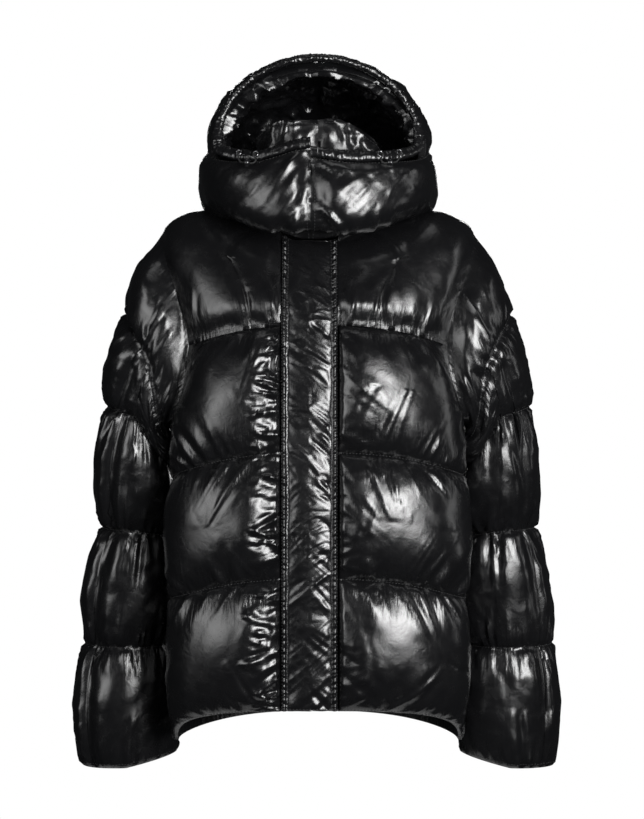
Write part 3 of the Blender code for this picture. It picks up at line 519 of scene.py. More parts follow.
def torso_lay(side, turn, level, height, armhole, held=False):
    """Lays a torso panel out; armhole marks the points that lie on the armhole's edge."""
    turn = turn if side > 0 else 2 - turn
    inner = torso(turn, level)
    out = normal_of(torso, turn, level, HEM, NECK)
    back = np.zeros_like(inner)
    outward = level_direction(torso, turn, level)
    direction, way_back = armhole_edge(turn, level, side)
    at_armhole = armhole & (level >= ARMPIT_LEVEL) & (level <= SHOULDER)
    out = np.where(at_armhole[:, None], direction, out)
    back = np.where(at_armhole[:, None], way_back, back)
    height = np.where(at_armhole, armhole_fill(level), height)
    slanted = unit(outward + np.array((0, 0, NECK_SLANT)))
    near_neck = level > NECK_FOOT - NECK_TURNS
    up_neck = smooth((level - (NECK_FOOT - NECK_TURNS)) / NECK_TURNS)[:, None]
    beside_neck = near_neck & ~at_armhole
    out = np.where(beside_neck[:, None], unit(mix(out, slanted, up_neck)), out)
    to_edge = np.clip(level - NECK_FOOT, 0, 1)[:, None]
    out = np.where(to_edge > 0, unit(mix(slanted, outward, to_edge)), out)
    height = np.where(near_neck, mix(height, NECK_WALL - SEAM_WALL, up_neck[:, 0]), height)
    return Lay(inner, out, height, back, held)


def front_turn(side, share, level):
    return mix(flap_turn(level, FLAP_LEFT if side > 0 else FLAP_RIGHT), side_turn(level), share)


def on_row(level, *rows):
    return np.isin(np.round(level, 6), rows)


def across_folds(level, along, name, size=1.0):
    """The gathers at the seams across a panel, different on each side of a seam."""
    nearest = np.round(level)
    away = np.abs(level - nearest) * BAFFLE_LENGTH
    total = np.zeros(len(level))
    for seam in np.unique(nearest):
        for above in (-1, 1):
            here = (nearest == seam) & (np.sign(level - seam) == above)
            if here.any():
                total[here] = folds(away[here], along[here], f"{name} {seam:.0f} {above}")
    return size * total


def beside_seams(level):
    """1 at the seams across a panel, fading to 0 into the baffles."""
    return 1 - smooth(np.abs(level - np.round(level)) / SEAM_REACH)


def front_lay(side, word):
    strip = 0.18 if side < 0 else 0.16

    def lay(share, level):
        turn = front_turn(side, share, level)
        # on the right a flat strip and then the dome, on the left one dome that starts at the flap's edge
        rising = smooth(share / strip) if side < 0 else np.sin(np.pi / 2 * np.minimum(1.0, share / 0.20))
        lifted = mix(0.50 if side < 0 else 0.64, 1.0, rising) * smooth(share / 0.012)
        lifted = lifted * mix(0.5, 1.0, smooth((1 - share) / 0.2)) * armhole_easing(level, share)
        height = body_height(turn, level) * lifted
        points = torso(turn if side > 0 else 2 - turn, level)
        # the crumpled strip beside the flap
        reach = strip * np.clip(0.62 + 0.45 * wander(points[:, 2], f"strip edge {word}", 0.030), 0.25, 1.05)
        crumple = smooth(share / 0.010) * (1 - smooth((share - reach * 0.7) / (strip * 0.45)))
        from_seam = np.abs(level - np.round(level)) * BAFFLE_LENGTH
        gathers = across_folds(level, points[:, 0] * 1.1 - side * 0.5 * from_seam, f"front {word}")
        from_flap = share * FRONT_WIDTH
        tucks = folds(from_flap, points[:, 2] * 0.6 + 0.5 * from_flap, f"beside flap {word}")
        height += tucks * np.sqrt(lifted) * (0.25 if side < 0 else 0.55)
        height += gathers * np.sqrt(lifted) * (1 - 0.8 * crumple) * (0.75 if side < 0 else 1.0)
        crushed = creased(points, f"strip {word}", STRIP_CREASES, (0.8, 0.4, 1.8))
        height += crushed * crumple * (1.0 if side < 0 else 0.2)
        height += lumped(points, f"front lumps {word}", BODY_LUMPS) * lifted
        held = on_row(level, WAIST, CHEST)
        laid = torso_lay(side, turn, level, np.maximum(0, height), share >= 1, held)
        return laid._replace(spare=beside_seams(level) * (1 - 0.7 * crumple))

    return lay


def princess(level):
    """Where the yoke's lengthwise seam runs, as a share of its width from the flap."""
    return 0.22 + 0.06 * np.minimum(1.6, level - YOKE)


def yoke_lay(side, word, outer):
    def lay(step, level):
        seam = princess(level)
        share = mix(seam, 1, step) if outer else seam * step
        turn = front_turn(side, share, level)
        sewn_in, princess_side = (1 - step, step) if outer else (step, 1 - step)
        edge = smooth(sewn_in / 0.25) * mix(0.55, 1.0, smooth(princess_side / (0.08 if outer else 0.18)))
        eased = armhole_easing(level, share)
        height = body_height(turn, level) * mix(0.35, 1.0, edge) * eased
        height += beside_armhole(level, eased)
        points = torso(turn if side > 0 else 2 - turn, level)
        height += across_folds(level, points[:, 0], f"yoke {word}", 1.3 * eased) * (level < YOKE_PLAIN)
        height += lumped(points, f"yoke lumps {word}", YOKE_LUMPS) * edge
        laid = torso_lay(side, turn, level, np.maximum(0, height), (step >= 1) & outer)
        return laid._replace(spare=beside_seams(level) * (level < YOKE_PLAIN))

    return lay


def back_lay(name):
    def lay(share, level):
        half = 2 * share - 1
        edge = np.abs(half)
        turn = 1 - edge * side_turn(level)
        lowest = np.where(level > YOKE, 0.35, 0.5)
        height = body_height(turn, level) * mix(lowest, 1.0, smooth((1 - edge) / 0.2))
        points = torso(turn, level)
        height += across_folds(level, points[:, 0] * np.sign(half) * 1.1, name) * (level < YOKE_PLAIN)
        height += lumped(points, f"{name} lumps", BODY_LUMPS)
        eased = armhole_easing(level, edge)
        height = np.maximum(0, height * eased + beside_armhole(level, eased))
        held = on_row(level, WAIST, CHEST)
        right, left = (torso_lay(side, turn, level, height, edge >= 1, held) for side in (-1, 1))
        pick = (half >= 0)[:, None]
        inner, out, back = (
            np.where(pick, getattr(left, part), getattr(right, part)) for part in ("inner", "out", "back")
        )
        return Lay(inner, out, left.height, back, held, beside_seams(level) * (level < YOKE_PLAIN))

    return lay


def flap_lay(share, level):
    x = mix(-FLAP_RIGHT, FLAP_LEFT, share)
    turn = np.copysign(flap_turn(level, np.maximum(1e-5, np.abs(x))), x)
    inner = torso(turn, level)
    out = normal_of(torso, turn, level, HEM, NECK)
    width = FLAP_RIGHT + FLAP_LEFT
    from_edge = np.minimum(share, 1 - share) * width
    down = inner[:, 2]
    tuck = np.cos(2 * np.pi * down / WELT_PITCH + 3.0 * wander(down, "welt", 0.021) + 420 * from_edge)
    ridge = (FLAP_RIDGE + WELT_DEPTH * tuck) * bell(from_edge, 0.004, 0.0025)
    filling = FLAP_FILLING * smooth(from_edge / 0.03)
    away, leaning = np.maximum(0, from_edge - FLAP_STITCH_IN), down + x * 0.8
    puckers = np.where(
        share > 0.5, folds(away, leaning, "flap left edge"), folds(away, leaning, "flap right edge")
    )
    # wrinkles that run down to the left edge in the upper part and to the right edge in the lower one
    lean = mix(-0.9, 0.8, smooth((down + 0.50 + 1.5 * x) / 0.20))
    slanted = np.stack((x * lean + down, 0 * x, x * 0.35 - down * 0.45), axis=1)
    fold = creased(slanted, "flap", FLAP_CREASES) + lumped(slanted, "flap soft", FLAP_LUMPS)
    fold = (fold + np.where(share > 0.5, 0.40, 0.15) * puckers) * smooth((from_edge - 0.005) / 0.010)
    height = FLAP_WALL - SEAM_WALL + ridge + filling + fold
    return Lay(inner, out, np.where(from_edge <= 1e-9, 0.0, height), held=from_edge < FLAP_STITCH_IN)


# ---- sleeves -------------------------------------------------------------------------------------
def sleeve_ring(row, angle):
    """Points of a sleeve's rings. angle is 0 at the outer side and 90 at the front."""
    out, forward = np.cos(np.radians(angle)), np.sin(np.radians(angle))
    tip_x = np.where(out > 0, row[:, OUTER_X], row[:, UNDER_X])
    tip_z = np.where(out > 0, row[:, OUTER_Z], row[:, UNDER_Z])
    x = mix(row[:, MIDDLE_X], tip_x, np.abs(out))
    z = mix(row[:, MIDDLE_Z], tip_z, np.abs(out))
    return np.stack((x, row[:, RING_Y] - row[:, HALF_DEPTH] * forward, z), axis=1)


def armhole_point(angle):
    """The armhole's edge at angles from its top, with the turns and levels there."""
    level = ARMHOLE_MIDDLE + ARMHOLE_HALF * np.cos(np.radians(angle))
    reach = 0.5 - side_turn(level)
    turn = 0.5 - np.copysign(reach, np.sin(np.radians(angle)))
    return torso(turn, level), turn, level


def sleeve_angle(start, place):
    """How the angle at the armhole moves down the sleeve, so that the seams keep to their own line."""
    seams = [SLEEVE_SEAM_ANGLE] + [row.seam_angle for row in SLEEVE]
    seam = np.interp(place, range(len(seams)), seams)
    under = np.copysign(180 - (180 - np.abs(start)) * (180 - seam) / (180 - SLEEVE_SEAM_ANGLE), start)
    return np.where(np.abs(start) <= SLEEVE_SEAM_ANGLE, start * seam / SLEEVE_SEAM_ANGLE, under)


def sleeve(start, place):
    """The left sleeve's inner surface. place is 0 at the armhole and 5 at the cuff."""
    rows = np.array(SLEEVE, float)
    place = np.clip(place, 0.0, float(CUFF))
    k = np.minimum(place.astype(int), CUFF - 1)
    angle = sleeve_angle(start, place)
    lower = sleeve_ring(rows[k], angle)
    upper = sleeve_ring(rows[np.maximum(k - 1, 0)], angle)
    upper = np.where((k == 0)[:, None], armhole_point(start)[0], upper)
    point = mix(upper, lower, (place - k)[:, None])
    under = np.maximum(0.0, -np.cos(np.radians(angle))) * np.sin(np.pi * np.clip(place, 0, 1))
    under = under * (1 - UNDERARM_BACK * np.sin(np.radians(angle)))
    return point + np.outer(under, (UNDERARM_OUT, 0, UNDERARM_UP))


def sleeve_height(angle, place, side):
    out = np.cos(np.radians(angle))
    tip = np.where(out > 0, SLEEVE_OUTER_PUFF, SLEEVE_UNDER_PUFF)
    full = mix(SLEEVE_PUFF, tip, np.abs(out) ** np.where(out > 0, 1.5, 0.7))
    # the front is squared off, most on the wearer's right of each sleeve
    squarer = np.where((out > 0) == (side < 0), SQUARE_MOST, SQUARE_LEAST)
    full = full + squarer * np.sin(2 * np.radians(angle)) ** 2 * (np.sin(np.radians(angle)) > 0)
    first = smooth(place / 0.45) * np.where(out > 0, 1.0, 1 - np.abs(out))
    # the underarm rests on the torso's side
    resting = 0.016 * bell(place, 1.06, 0.36) + 0.009 * bell(place, 0.55, 0.20)
    resting = resting * np.maximum(0.0, -out) ** 4
    return np.where(place < 1, full * first, full) * baffle(place) + resting


def sleeve_lay(side, top, word):
    def lay(share, place):
        start = mix(-SLEEVE_SEAM_ANGLE, SLEEVE_SEAM_ANGLE, share)
        if not top:
            start = mix(SLEEVE_SEAM_ANGLE, 360 - SLEEVE_SEAM_ANGLE, share)
            start = np.where(start > 180, start - 360, start)
        inner = sleeve(start, place)
        turned = np.where(start > 179.4, start - 1, start)
        around = sleeve(turned + 0.5, place) - sleeve(turned - 0.5, place)
        along = sleeve(start, place + 0.01) - sleeve(start, place - 0.01)
        out = unit(np.cross(around, along))
        _, turn, level = armhole_point(start)
        direction, torso_back = armhole_edge(turn, level, 1)
        out = unit(out + direction * np.maximum(0.0, 1 - place / 0.5)[:, None])
        at_armhole = (place <= 0)[:, None]
        out = np.where(at_armhole, direction, out)
        back = np.where(at_armhole, -torso_back, 0.0)
        angle = sleeve_angle(start, place)
        height = sleeve_height(angle, place, side)
        height = height + armhole_fill(level) * (1 - smooth(place / 0.9))
        beside_seam = smooth(np.minimum(share, 1 - share) / 0.07)
        height = height * mix(mix(1.0, 0.62, smooth((place - 1) / 0.3)), 1.0, beside_seam)
        girth = np.radians(angle) * 0.08
        gathers = across_folds(place, girth, f"sleeve {word} {top}", 1.1)
        height = height + gathers * smooth((place - 0.6) / 0.2)
        # long folds that hang down the upper arm
        hanging = smooth(place / 0.3) * smooth((2.2 - place) / 0.8)
        down = np.stack((girth * 1.5, 0 * girth, place * 0.035), axis=1)
        height = height + creased(down, f"arm {word}", ARM_CREASES) * hanging
        slanted = np.stack((girth * 0.9 + place * 0.10, 0 * girth, place * 0.09 - girth * 0.4), axis=1)
        crossing = creased(slanted, f"sleeve slant {word} {top}", SLEEVE_CREASES)
        height = height + crossing * beside_seam * baffle(place) * smooth((place - 1) / 0.3)
        height = height + lumped(inner, f"sleeve lumps {word}", SLEEVE_LUMPS) * smooth(place / 0.4)
        held = on_row(place, 1, 2, 3, 4)
        mirror = np.array((side, 1, 1))
        height = np.maximum(0, height)
        return Lay(inner * mirror, out * mirror, height, back * mirror, held, beside_seams(place))

    return lay


# ---- hood and collar -----------------------------------------------------------------------------
def opening_depth(x, z):
    """How far forward the face opening lies at a place seen from the front."""
    low = OPENING_Z - OPENING_DROP
    return OPENING_FRONT_Y + (z - low) * OPENING_LEAN + OPENING_CURVE * x * x


def opening_line():
    """The closed line of the face opening, from its lowest point round by the left."""
    points = []
    for k in range(721):
        angle = math.radians(-90 + k / 2)
        out, rise = math.cos(angle), math.sin(angle)
        if rise >= 0:
            x, z = out, OPENING_Z + OPENING_RISE * rise
        else:
            x, z = math.copysign(abs(out) ** (2 / 3), out), OPENING_Z - OPENING_DROP * abs(rise) ** (2 / 3)
        x *= OPENING_HALF_WIDTH
        points.append(Vector((x, opening_depth(x, z), z)))
    return points


def evenly(points, count):
    """Points at even distances along a line, one more than count."""
    lengths = [0.0]
    for a, b in zip(points, points[1:]):
        lengths.append(lengths[-1] + (b - a).length)
    found, k = [], 0
    for step in range(count + 1):
        wanted = lengths[-1] * step / count
        while k < len(points) - 2 and lengths[k + 1] < wanted:
            k += 1
        found.append(points[k].lerp(points[k + 1], (wanted - lengths[k]) / (lengths[k + 1] - lengths[k])))
    return found


def channel_frames(count):
    """Places round the face opening, each with its outward and forward direction."""
    line = evenly(opening_line(), count)[:-1]
    frames = []
    for k, point in enumerate(line):
        along = (line[(k + 1) % count] - line[k - 1]).normalized()
        forward = Vector((0, -1, OPENING_LEAN))
        forward = (forward - along * forward.dot(along)).normalized()
        outward = -along.cross(forward)
        if outward.dot(point - Vector((0, point.y, OPENING_Z))) < 0:
            outward = -outward
        frames.append((point, outward, forward))
    return frames


def channel_front(x):
    """The channel's foremost point below the opening's middle, at that x, with its two directions."""
    frames = [f for f in channel_frames(400) if f[0].z < OPENING_Z]
    point, outward, forward = min(frames, key=lambda found: abs(found[0].x - x))
    return point + forward * CHANNEL_FORWARD * math.cos(math.radians(22.5)), outward, forward


def rim_point(angle):
    """Where the crown meets the channel, on the arch at angles from the side to the top."""
    top = HOOD[HOOD_TOP]
    y = np.full(len(angle), -0.090)
    for _ in range(4):
        depth = top.side_y - top.front_y
        scale = (1 - (np.abs(y - top.side_y) / depth) ** SQUARENESS) ** (1 / SQUARENESS)
        x = top.half_width * scale * np.cos(angle)
        z = top.side_z + CROWN_HEIGHT * scale * np.sin(angle)
        grown = 1 + RIM_WALL / top.half_width
        y = opening_depth(x * grown, mix(top.side_z, z, grown)) + CHANNEL_FORWARD + 0.0020
    return np.stack((x, y, z), axis=1)


def crown_side_turn():
    """Where the crown's edge meets the top of the lower hood."""
    wanted, low, high = rim_point(np.zeros(1))[0, 1], 0.05, 0.5
    for _ in range(40):
        middle = (low + high) / 2
        y = hood(np.array([middle]), np.array([float(HOOD_TOP)]))[0, 1]
        low, high = (middle, high) if y < wanted else (low, middle)
    return low


def crown_share(p):
    """1 on the crown's surface, less inside it and more outside."""
    top = HOOD[HOOD_TOP]
    behind = p[:, 1] > top.side_y
    depth = np.where(behind, top.back_y - top.side_y, top.side_y - top.front_y)
    arch = np.hypot(p[:, 0] / top.half_width, (p[:, 2] - top.side_z) / CROWN_HEIGHT)
    return (arch**SQUARENESS + (np.abs(p[:, 1] - top.side_y) / depth) ** SQUARENESS) ** (1 / SQUARENESS)


def on_crown(p):
    top = HOOD[HOOD_TOP]
    centre = np.array((0, top.side_y, top.side_z))
    return centre + (p - centre) / crown_share(p)[:, None]


def crown(across, up):
    """The left half of the crown: across runs from the face to the back, up from the side to the middle."""
    start = crown_side_turn()
    one = np.ones(len(across))
    centre = np.array((0, HOOD[HOOD_TOP].side_y, HOOD[HOOD_TOP].side_z))
    side_rim, top_rim = rim_point(np.zeros(1))[0], rim_point(np.full(1, np.pi / 2))[0]

    def base(s):
        return hood(mix(start, 1, s), one * HOOD_TOP)

    def ridge(s):
        return on_crown(np.stack((0 * s, mix(top_rim[1], CROWN_BACK, s), 0 * s + 0.18), axis=1))

    def rim(t):
        return rim_point(t * np.pi / 2) + np.outer((1 - t) ** 3, base(0 * s)[0] - side_rim)

    def rear(t):
        a, b = base(one)[0] - centre, ridge(one)[0] - centre
        found = on_crown(centre + mix(a, b, t[:, None]))
        return np.where((t > 0)[:, None], found, base(one))

    s, t = across, up
    s1, t1 = s[:, None], t[:, None]
    corners = base(0 * s) * (1 - s1) * (1 - t1) + base(one) * s1 * (1 - t1)
    corners = corners + ridge(0 * s) * (1 - s1) * t1 + ridge(one) * s1 * t1
    flat = base(s) * (1 - t1) + ridge(s) * t1 + rim(t) * (1 - s1) + rear(t) * s1 - corners
    round_point = on_crown(flat) + (base(s) - on_crown(base(s))) * (1 - t1) ** 3
    return np.where((t1 <= 0) | (s1 <= 0), flat, round_point)


FRONT_SEAM_X = -0.009  # the lower hood's front seam sits off centre
BRIM_RISE_RIGHT, BRIM_RISE_LEFT = 0.017, 0.006
POINT_DROP, SIDE_DROP = 0.009, 0.013  # of the lower hood's bottom edge in front, and of its sides
SIDE_BULGE = {"right": 0.005, "left": 0.002}
ROLL_DEPTH, ROLL_CRUSH, ROLL_FACE = 0.013, 0.012, 0.008  # of the filling that stands behind the brim
LINING_HANGS = 0.011
COLLAR_PUFF, COLLAR_CRUSH, COLLAR_LIP, COLLAR_ROLL = 0.019, 0.0075, 0.0030, 0.012


def brim_lift(x, y):
    """How much higher the face opening's lower edge is than its plain line, beside the front seam."""
    right = BRIM_RISE_RIGHT * smooth((x + 0.085) / 0.072)
    left = BRIM_RISE_LEFT * (1 - smooth((x - FRONT_SEAM_X) / 0.06))
    return np.where(x < FRONT_SEAM_X, right, left) * smooth((-0.07 - y) / 0.03)


def funnel_lay(side, word):
    def lay(share, level):
        row = between(HOOD, level)
        seam = np.arcsin((np.abs(FRONT_SEAM_X) / row[:, HALF_WIDTH]) ** (SQUARENESS / 2)) / np.pi
        turn = mix(seam * np.sign(FRONT_SEAM_X) * side, 1.0, share)
        turn = turn if side > 0 else 2 - turn
        inner = hood(turn, level)
        out = normal_of(hood, turn, level, 0, HOOD_TOP)
        sideways = level_direction(hood, turn, level)
        ends = ((level <= 0) | (level >= HOOD_TOP))[:, None]
        out = np.where(ends, sideways, out)
        at_side = np.sin(np.pi * turn) ** 4
        filled = mix(smooth((level - 1) / 2), smooth((level - 0.2) / 1.4), at_side)
        filled *= smooth(share / 0.035) * smooth((1 - share) / 0.03)
        height = HOOD_PUFF * filled * mix(1.0, 0.8, smooth((level - 3.9) / 0.9) * at_side)
        height += SIDE_BULGE[word] * at_side * smooth((level - 0.3) / 0.8) * smooth((3.2 - level) / 1.6)
        away = np.abs(inner[:, 0] - FRONT_SEAM_X) + 0.6 * np.maximum(0, inner[:, 1])
        front = smooth((-0.02 - inner[:, 1]) / 0.05) * smooth((level - 1.5) / 0.8)
        front *= smooth((HOOD_TOP - level) / 0.4)
        height += 1.2 * folds(away, inner[:, 2] + 0.9 * away, f"funnel seam {word}") * front
        # tight folds below the brim, and slanted creases over the rest
        below = (HOOD_TOP - level) * 0.036
        tight = np.stack((inner[:, 0] * 0.45, 0 * away, inner[:, 2] * 2.2 + inner[:, 0] * 0.25), axis=1)
        tight = creased(tight, f"brim {word}", BRIM_CREASES)
        height += tight * front * bell(below, 0.0, 0.020) * (1.0 if side > 0 else 0.35)
        x, y, z = inner.T
        slanted = np.stack((x - z, y, 0.4 * (x + z)), axis=1)
        quiet = smooth((level - 1.6) / 0.8) * smooth((HOOD_TOP - level) / 0.6) * smooth(share / 0.05)
        height += creased(slanted, f"funnel {word}", FUNNEL_CREASES[word]) * quiet
        height += lumped(inner, f"funnel lumps {word}", FUNNEL_LUMPS) * quiet
        height += creased(slanted, f"funnel fine {word}", FUNNEL_FINE) * quiet * front
        height = mix(height, RIM_WALL - SEAM_WALL, smooth((level - HOOD_TOP + 0.45) / 0.45))
        height = np.where(level <= 0, 0.0, height)
        rise = brim_lift(x, y) * smooth((level - 3.4) / 1.6)
        # the lower edge comes down to a point over the flap's top
        point = bell(x, FRONT_SEAM_X, 0.060) * smooth((-0.02 - y) / 0.04)
        resting = at_side**2 * smooth((level - 0.5) / 1.0) * smooth((4.4 - level) / 1.8)
        rise = rise - POINT_DROP * point * (1 - smooth(level / 1.8)) - SIDE_DROP * resting
        lift = np.outer(rise, (0, 0, 1))
        return Lay(inner, out, np.maximum(0, height), lift)

    return lay


def crown_lay(side, word):
    ways = [np.array(way) * 1e-4 for way in ((1, 0, 0), (0, 1, 0), (0, 0, 1))]

    def lay(share, up):
        point = crown(share, up)
        here = crown_share(point)
        out = unit(np.stack([crown_share(point + way) - here for way in ways], axis=1))
        forward = np.array((0, -1, OPENING_LEAN)) / math.hypot(1, OPENING_LEAN)
        weight = smooth(1 - share / 0.3)
        out = unit(out - forward * ((out @ forward) * weight)[:, None])
        beside_seam = smooth((1 - up) / 0.25)
        filled = smooth(share / 0.25) * smooth(up / 0.15)
        height = RIM_WALL * mix(0.8, 1.0, beside_seam) + CROWN_PUFF * filled * beside_seam - SEAM_WALL
        at_top = np.full(len(share), float(HOOD_TOP))
        sideways = level_direction(hood, mix(crown_side_turn(), 1, share), at_top)
        out = np.where((up <= 0)[:, None], sideways, out)
        height = np.where(up <= 0, RIM_WALL - SEAM_WALL, height)
        out[:, 0] = np.where(up >= 1, 0.0, out[:, 0])
        quiet = smooth(share / 0.1) * smooth((1 - up) / 0.1) * smooth(up / 0.1)
        height = height + lumped(point, f"crown {word}", CROWN_LUMPS) * quiet
        height = height + creased(point, f"crown {word}", CROWN_CREASES) * quiet
        # inside, a crushed roll of filling stands behind the brim, and the lining hangs loose behind it
        roll = smooth(share / 0.035) * (1 - smooth((share - 0.10) / 0.26)) * smooth(up / 0.06)
        roll *= mix(1.0, 0.6, smooth((up - 0.55) / 0.3))
        crushed = creases(point, f"roll {word}", 0.070, (1, 1.3, 1)) - 0.15
        loose = creases(point, f"inside {word}", 0.085) + 0.5 * creases(point, f"inside fine {word}", 0.045)
        loose = LINING_HANGS * loose * smooth((share - 0.06) / 0.15) * smooth((1 - up) / 0.12)
        loose = loose * smooth(up / 0.08) * smooth((1 - share) / 0.1)
        lining = (ROLL_DEPTH + ROLL_CRUSH * crushed) * roll + loose
        pressed = creases(point, f"roll face {word}", 0.070, (1, 1.3, 1)) - 0.8
        pressed += 0.30 * creases(point, f"roll fine {word}", 0.024)
        pressed = ROLL_FACE * pressed * smooth(share / 0.012) * (1 - smooth((share - 0.25) / 0.1))
        shift = np.outer(pressed, forward)
        mirror = np.array((side, 1, 1))
        return Lay(point * mirror, out * mirror, np.maximum(0, height), lining=lining, shift=shift)

    return lay


def collar_lay(side, word):
    def lay(share, level):
        turn = share if side > 0 else 2 - share
        inner = collar(turn, level)
        out = normal_of(collar, turn, level, 0, 2)
        out = np.where((level <= 0)[:, None], level_direction(collar, turn, level), out)
        ends = mix(0.45, 1.0, smooth(share / 0.05)) * mix(0.45, 1.0, smooth((1 - share) / 0.05))
        height = COLLAR_PUFF * smooth(level / 0.5) * (1 - smooth((level - 0.7) / 1.3)) * ends
        height += 1.2 * folds((2 - level) * 0.045, inner[:, 0] * 1.2, f"collar {word}") * ends
        crushed = creases(inner, f"collar {word}", 0.036, (1, 1, 1.3)) - 0.2
        crushed += 0.4 * creases(inner, f"collar fine {word}", 0.022, (1.6, 1, 1))
        height += COLLAR_CRUSH * crushed * ends
        height += COLLAR_LIP * bell(level, 1.93, 0.07) * ends
        front = smooth((-inner[:, 1] - 0.02) / 0.05) * smooth((level - 0.8) / 1.2)
        x = inner[:, 0]
        rise = 0.013 * bell(x, -0.062, 0.030) + 0.004 * bell(x, 0.025, 0.02)
        rise -= 0.010 * smooth((x - 0.045) / 0.02)
        # the roll of cloth beside the collar's left end
        height += COLLAR_ROLL * bell(x, 0.057, 0.010) * front
        back = np.outer(rise * front + 0.0006 * wander(x, f"collar edge {word}", 0.012) * front, (0, 0, 1))
        return Lay(inner, out, np.where(level <= 0, 0.0, np.maximum(0, height)), back)

    return lay


# ---- materials -----------------------------------------------------------------------------------
def blank(name):
    """A new material with its nodes, links, shader and the coordinates that its patterns lie on."""
    material = bpy.data.materials.new(name)
    material.use_nodes = True
    nodes = material.node_tree.nodes
    place = nodes.new("ShaderNodeTexCoord").outputs["Object"]
    return material, nodes, material.node_tree.links, nodes["Principled BSDF"], place


def noise_field(nodes, links, place, scale, detail, spread=0.0):
    field = nodes.new("ShaderNodeTexNoise")
    field.inputs["Scale"].default_value = scale
    field.inputs["Detail"].default_value = detail
    field.inputs["Distortion"].default_value = spread
    links.new(place, field.inputs["Vector"])
    return field.outputs["Fac"]


def wave_field(nodes, links, place, direction, scale, spread):
    field = nodes.new("ShaderNodeTexWave")
    field.bands_direction = direction
    field.inputs["Scale"].default_value = scale
    field.inputs["Distortion"].default_value = spread
    links.new(place, field.inputs["Vector"])
    return field.outputs["Fac"]


def two_tone(nodes, links, field, dark, light, surface):
    """Colours the surface between two tones."""
    tone = nodes.new("ShaderNodeMix")
    tone.data_type = "RGBA"
    tone.inputs["A"].default_value = (*dark, 1)
    tone.inputs["B"].default_value = (*light, 1)
    links.new(field, tone.inputs["Factor"])
    links.new(tone.outputs["Result"], surface.inputs["Base Color"])


def spread_over(nodes, links, field, low, high):
    ramp = nodes.new("ShaderNodeMapRange")
    ramp.inputs["From Min"].default_value, ramp.inputs["From Max"].default_value = 0.3, 0.7
    ramp.inputs["To Min"].default_value, ramp.inputs["To Max"].default_value = low, high
    links.new(field, ramp.inputs["Value"])
    return ramp.outputs["Result"]


def raised(nodes, links, field, distance, strength, under=None):
    bump = nodes.new("ShaderNodeBump")
    bump.inputs["Distance"].default_value = distance
    bump.inputs["Strength"].default_value = strength
    links.new(field, bump.inputs["Height"])
    if under is not None:
        links.new(under, bump.inputs["Normal"])
    return bump.outputs["Normal"]


def gather_lines(nodes, links):
    """Fine tucks across the seams, as strong as the piece's own gathering says."""
    own = nodes.new("ShaderNodeAttribute")
    own.attribute_name = "cut"
    parts = nodes.new("ShaderNodeSeparateXYZ")
    links.new(own.outputs["Vector"], parts.inputs[0])
    spread = nodes.new("ShaderNodeMapping")
    spread.inputs["Scale"].default_value = (210, 34, 0)
    links.new(own.outputs["Vector"], spread.inputs["Vector"])
    tucks = noise_field(nodes, links, spread.outputs[0], 1.0, 3, 0.25)
    strength = nodes.new("ShaderNodeMath")
    strength.operation = "MULTIPLY"
    links.new(tucks, strength.inputs[0])
    links.new(parts.outputs["Z"], strength.inputs[1])
    return strength.outputs[0]


def make_nylon(name, low_rough, high_rough, crinkle, gloss=0.55, coat=0.22):
    """Coated black nylon: a fine weave, small crinkles, and a coat that is a little uneven."""
    material, nodes, links, surface, place = blank(name)
    broad = noise_field(nodes, links, place, 14, 3)
    two_tone(nodes, links, broad, settings().shell_dark, settings().shell_light, surface)
    fine = noise_field(nodes, links, place, 60, 5, 0.4)
    links.new(spread_over(nodes, links, fine, low_rough, high_rough), surface.inputs["Roughness"])
    surface.inputs["Specular IOR Level"].default_value = gloss
    surface.inputs["Coat Weight"].default_value = coat
    surface.inputs["Coat Roughness"].default_value = 0.16
    large = noise_field(nodes, links, place, 62, 3, 1.2)
    small = noise_field(nodes, links, place, 170, 4, 0.8)
    bent = raised(nodes, links, large, 0.0009 * crinkle, 0.4)
    bent = raised(nodes, links, small, 0.0003 * crinkle, 0.4, bent)
    bent = raised(nodes, links, gather_lines(nodes, links), 0.0022 * crinkle, 0.9, bent)
    weave = [wave_field(nodes, links, place, direction, 420, 0.6) for direction in ("X", "Z")]
    both = nodes.new("ShaderNodeMath")
    both.operation = "MAXIMUM"
    links.new(weave[0], both.inputs[0])
    links.new(weave[1], both.inputs[1])
    bent = raised(nodes, links, both.outputs[0], 0.00004, 0.5, bent)
    links.new(bent, surface.inputs["Normal"])
    return material


def make_metal():
    material, nodes, links, surface, place = blank("eyelet_nickel")
    surface.inputs["Metallic"].default_value = 1.0
    wear = noise_field(nodes, links, place, 900, 4)
    two_tone(nodes, links, wear, (0.20, 0.20, 0.21), (0.42, 0.42, 0.43), surface)
    links.new(spread_over(nodes, links, wear, 0.16, 0.34), surface.inputs["Roughness"])
    links.new(raised(nodes, links, wear, 0.00003, 0.4), surface.inputs["Normal"])
    return material


def make_plastic():
    material, nodes, links, surface, place = blank("stopper_gloss")
    surface.inputs["Base Color"].default_value = (0.008, 0.008, 0.009, 1)
    surface.inputs["Coat Weight"].default_value = 0.4
    scuff = noise_field(nodes, links, place, 700, 5)
    links.new(spread_over(nodes, links, scuff, 0.10, 0.26), surface.inputs["Roughness"])
    links.new(raised(nodes, links, scuff, 0.00004, 0.3), surface.inputs["Normal"])
    return material


def make_braid():
    """Round elastic cord: slanted strands round it."""
    material, nodes, links, surface, place = blank("cord_braid")
    strands = wave_field(nodes, links, place, "DIAGONAL", 330, 1.5)
    two_tone(nodes, links, strands, (0.006, 0.006, 0.006), (0.030, 0.030, 0.031), surface)
    surface.inputs["Roughness"].default_value = 0.62
    links.new(raised(nodes, links, strands, 0.0003, 0.7), surface.inputs["Normal"])
    return material


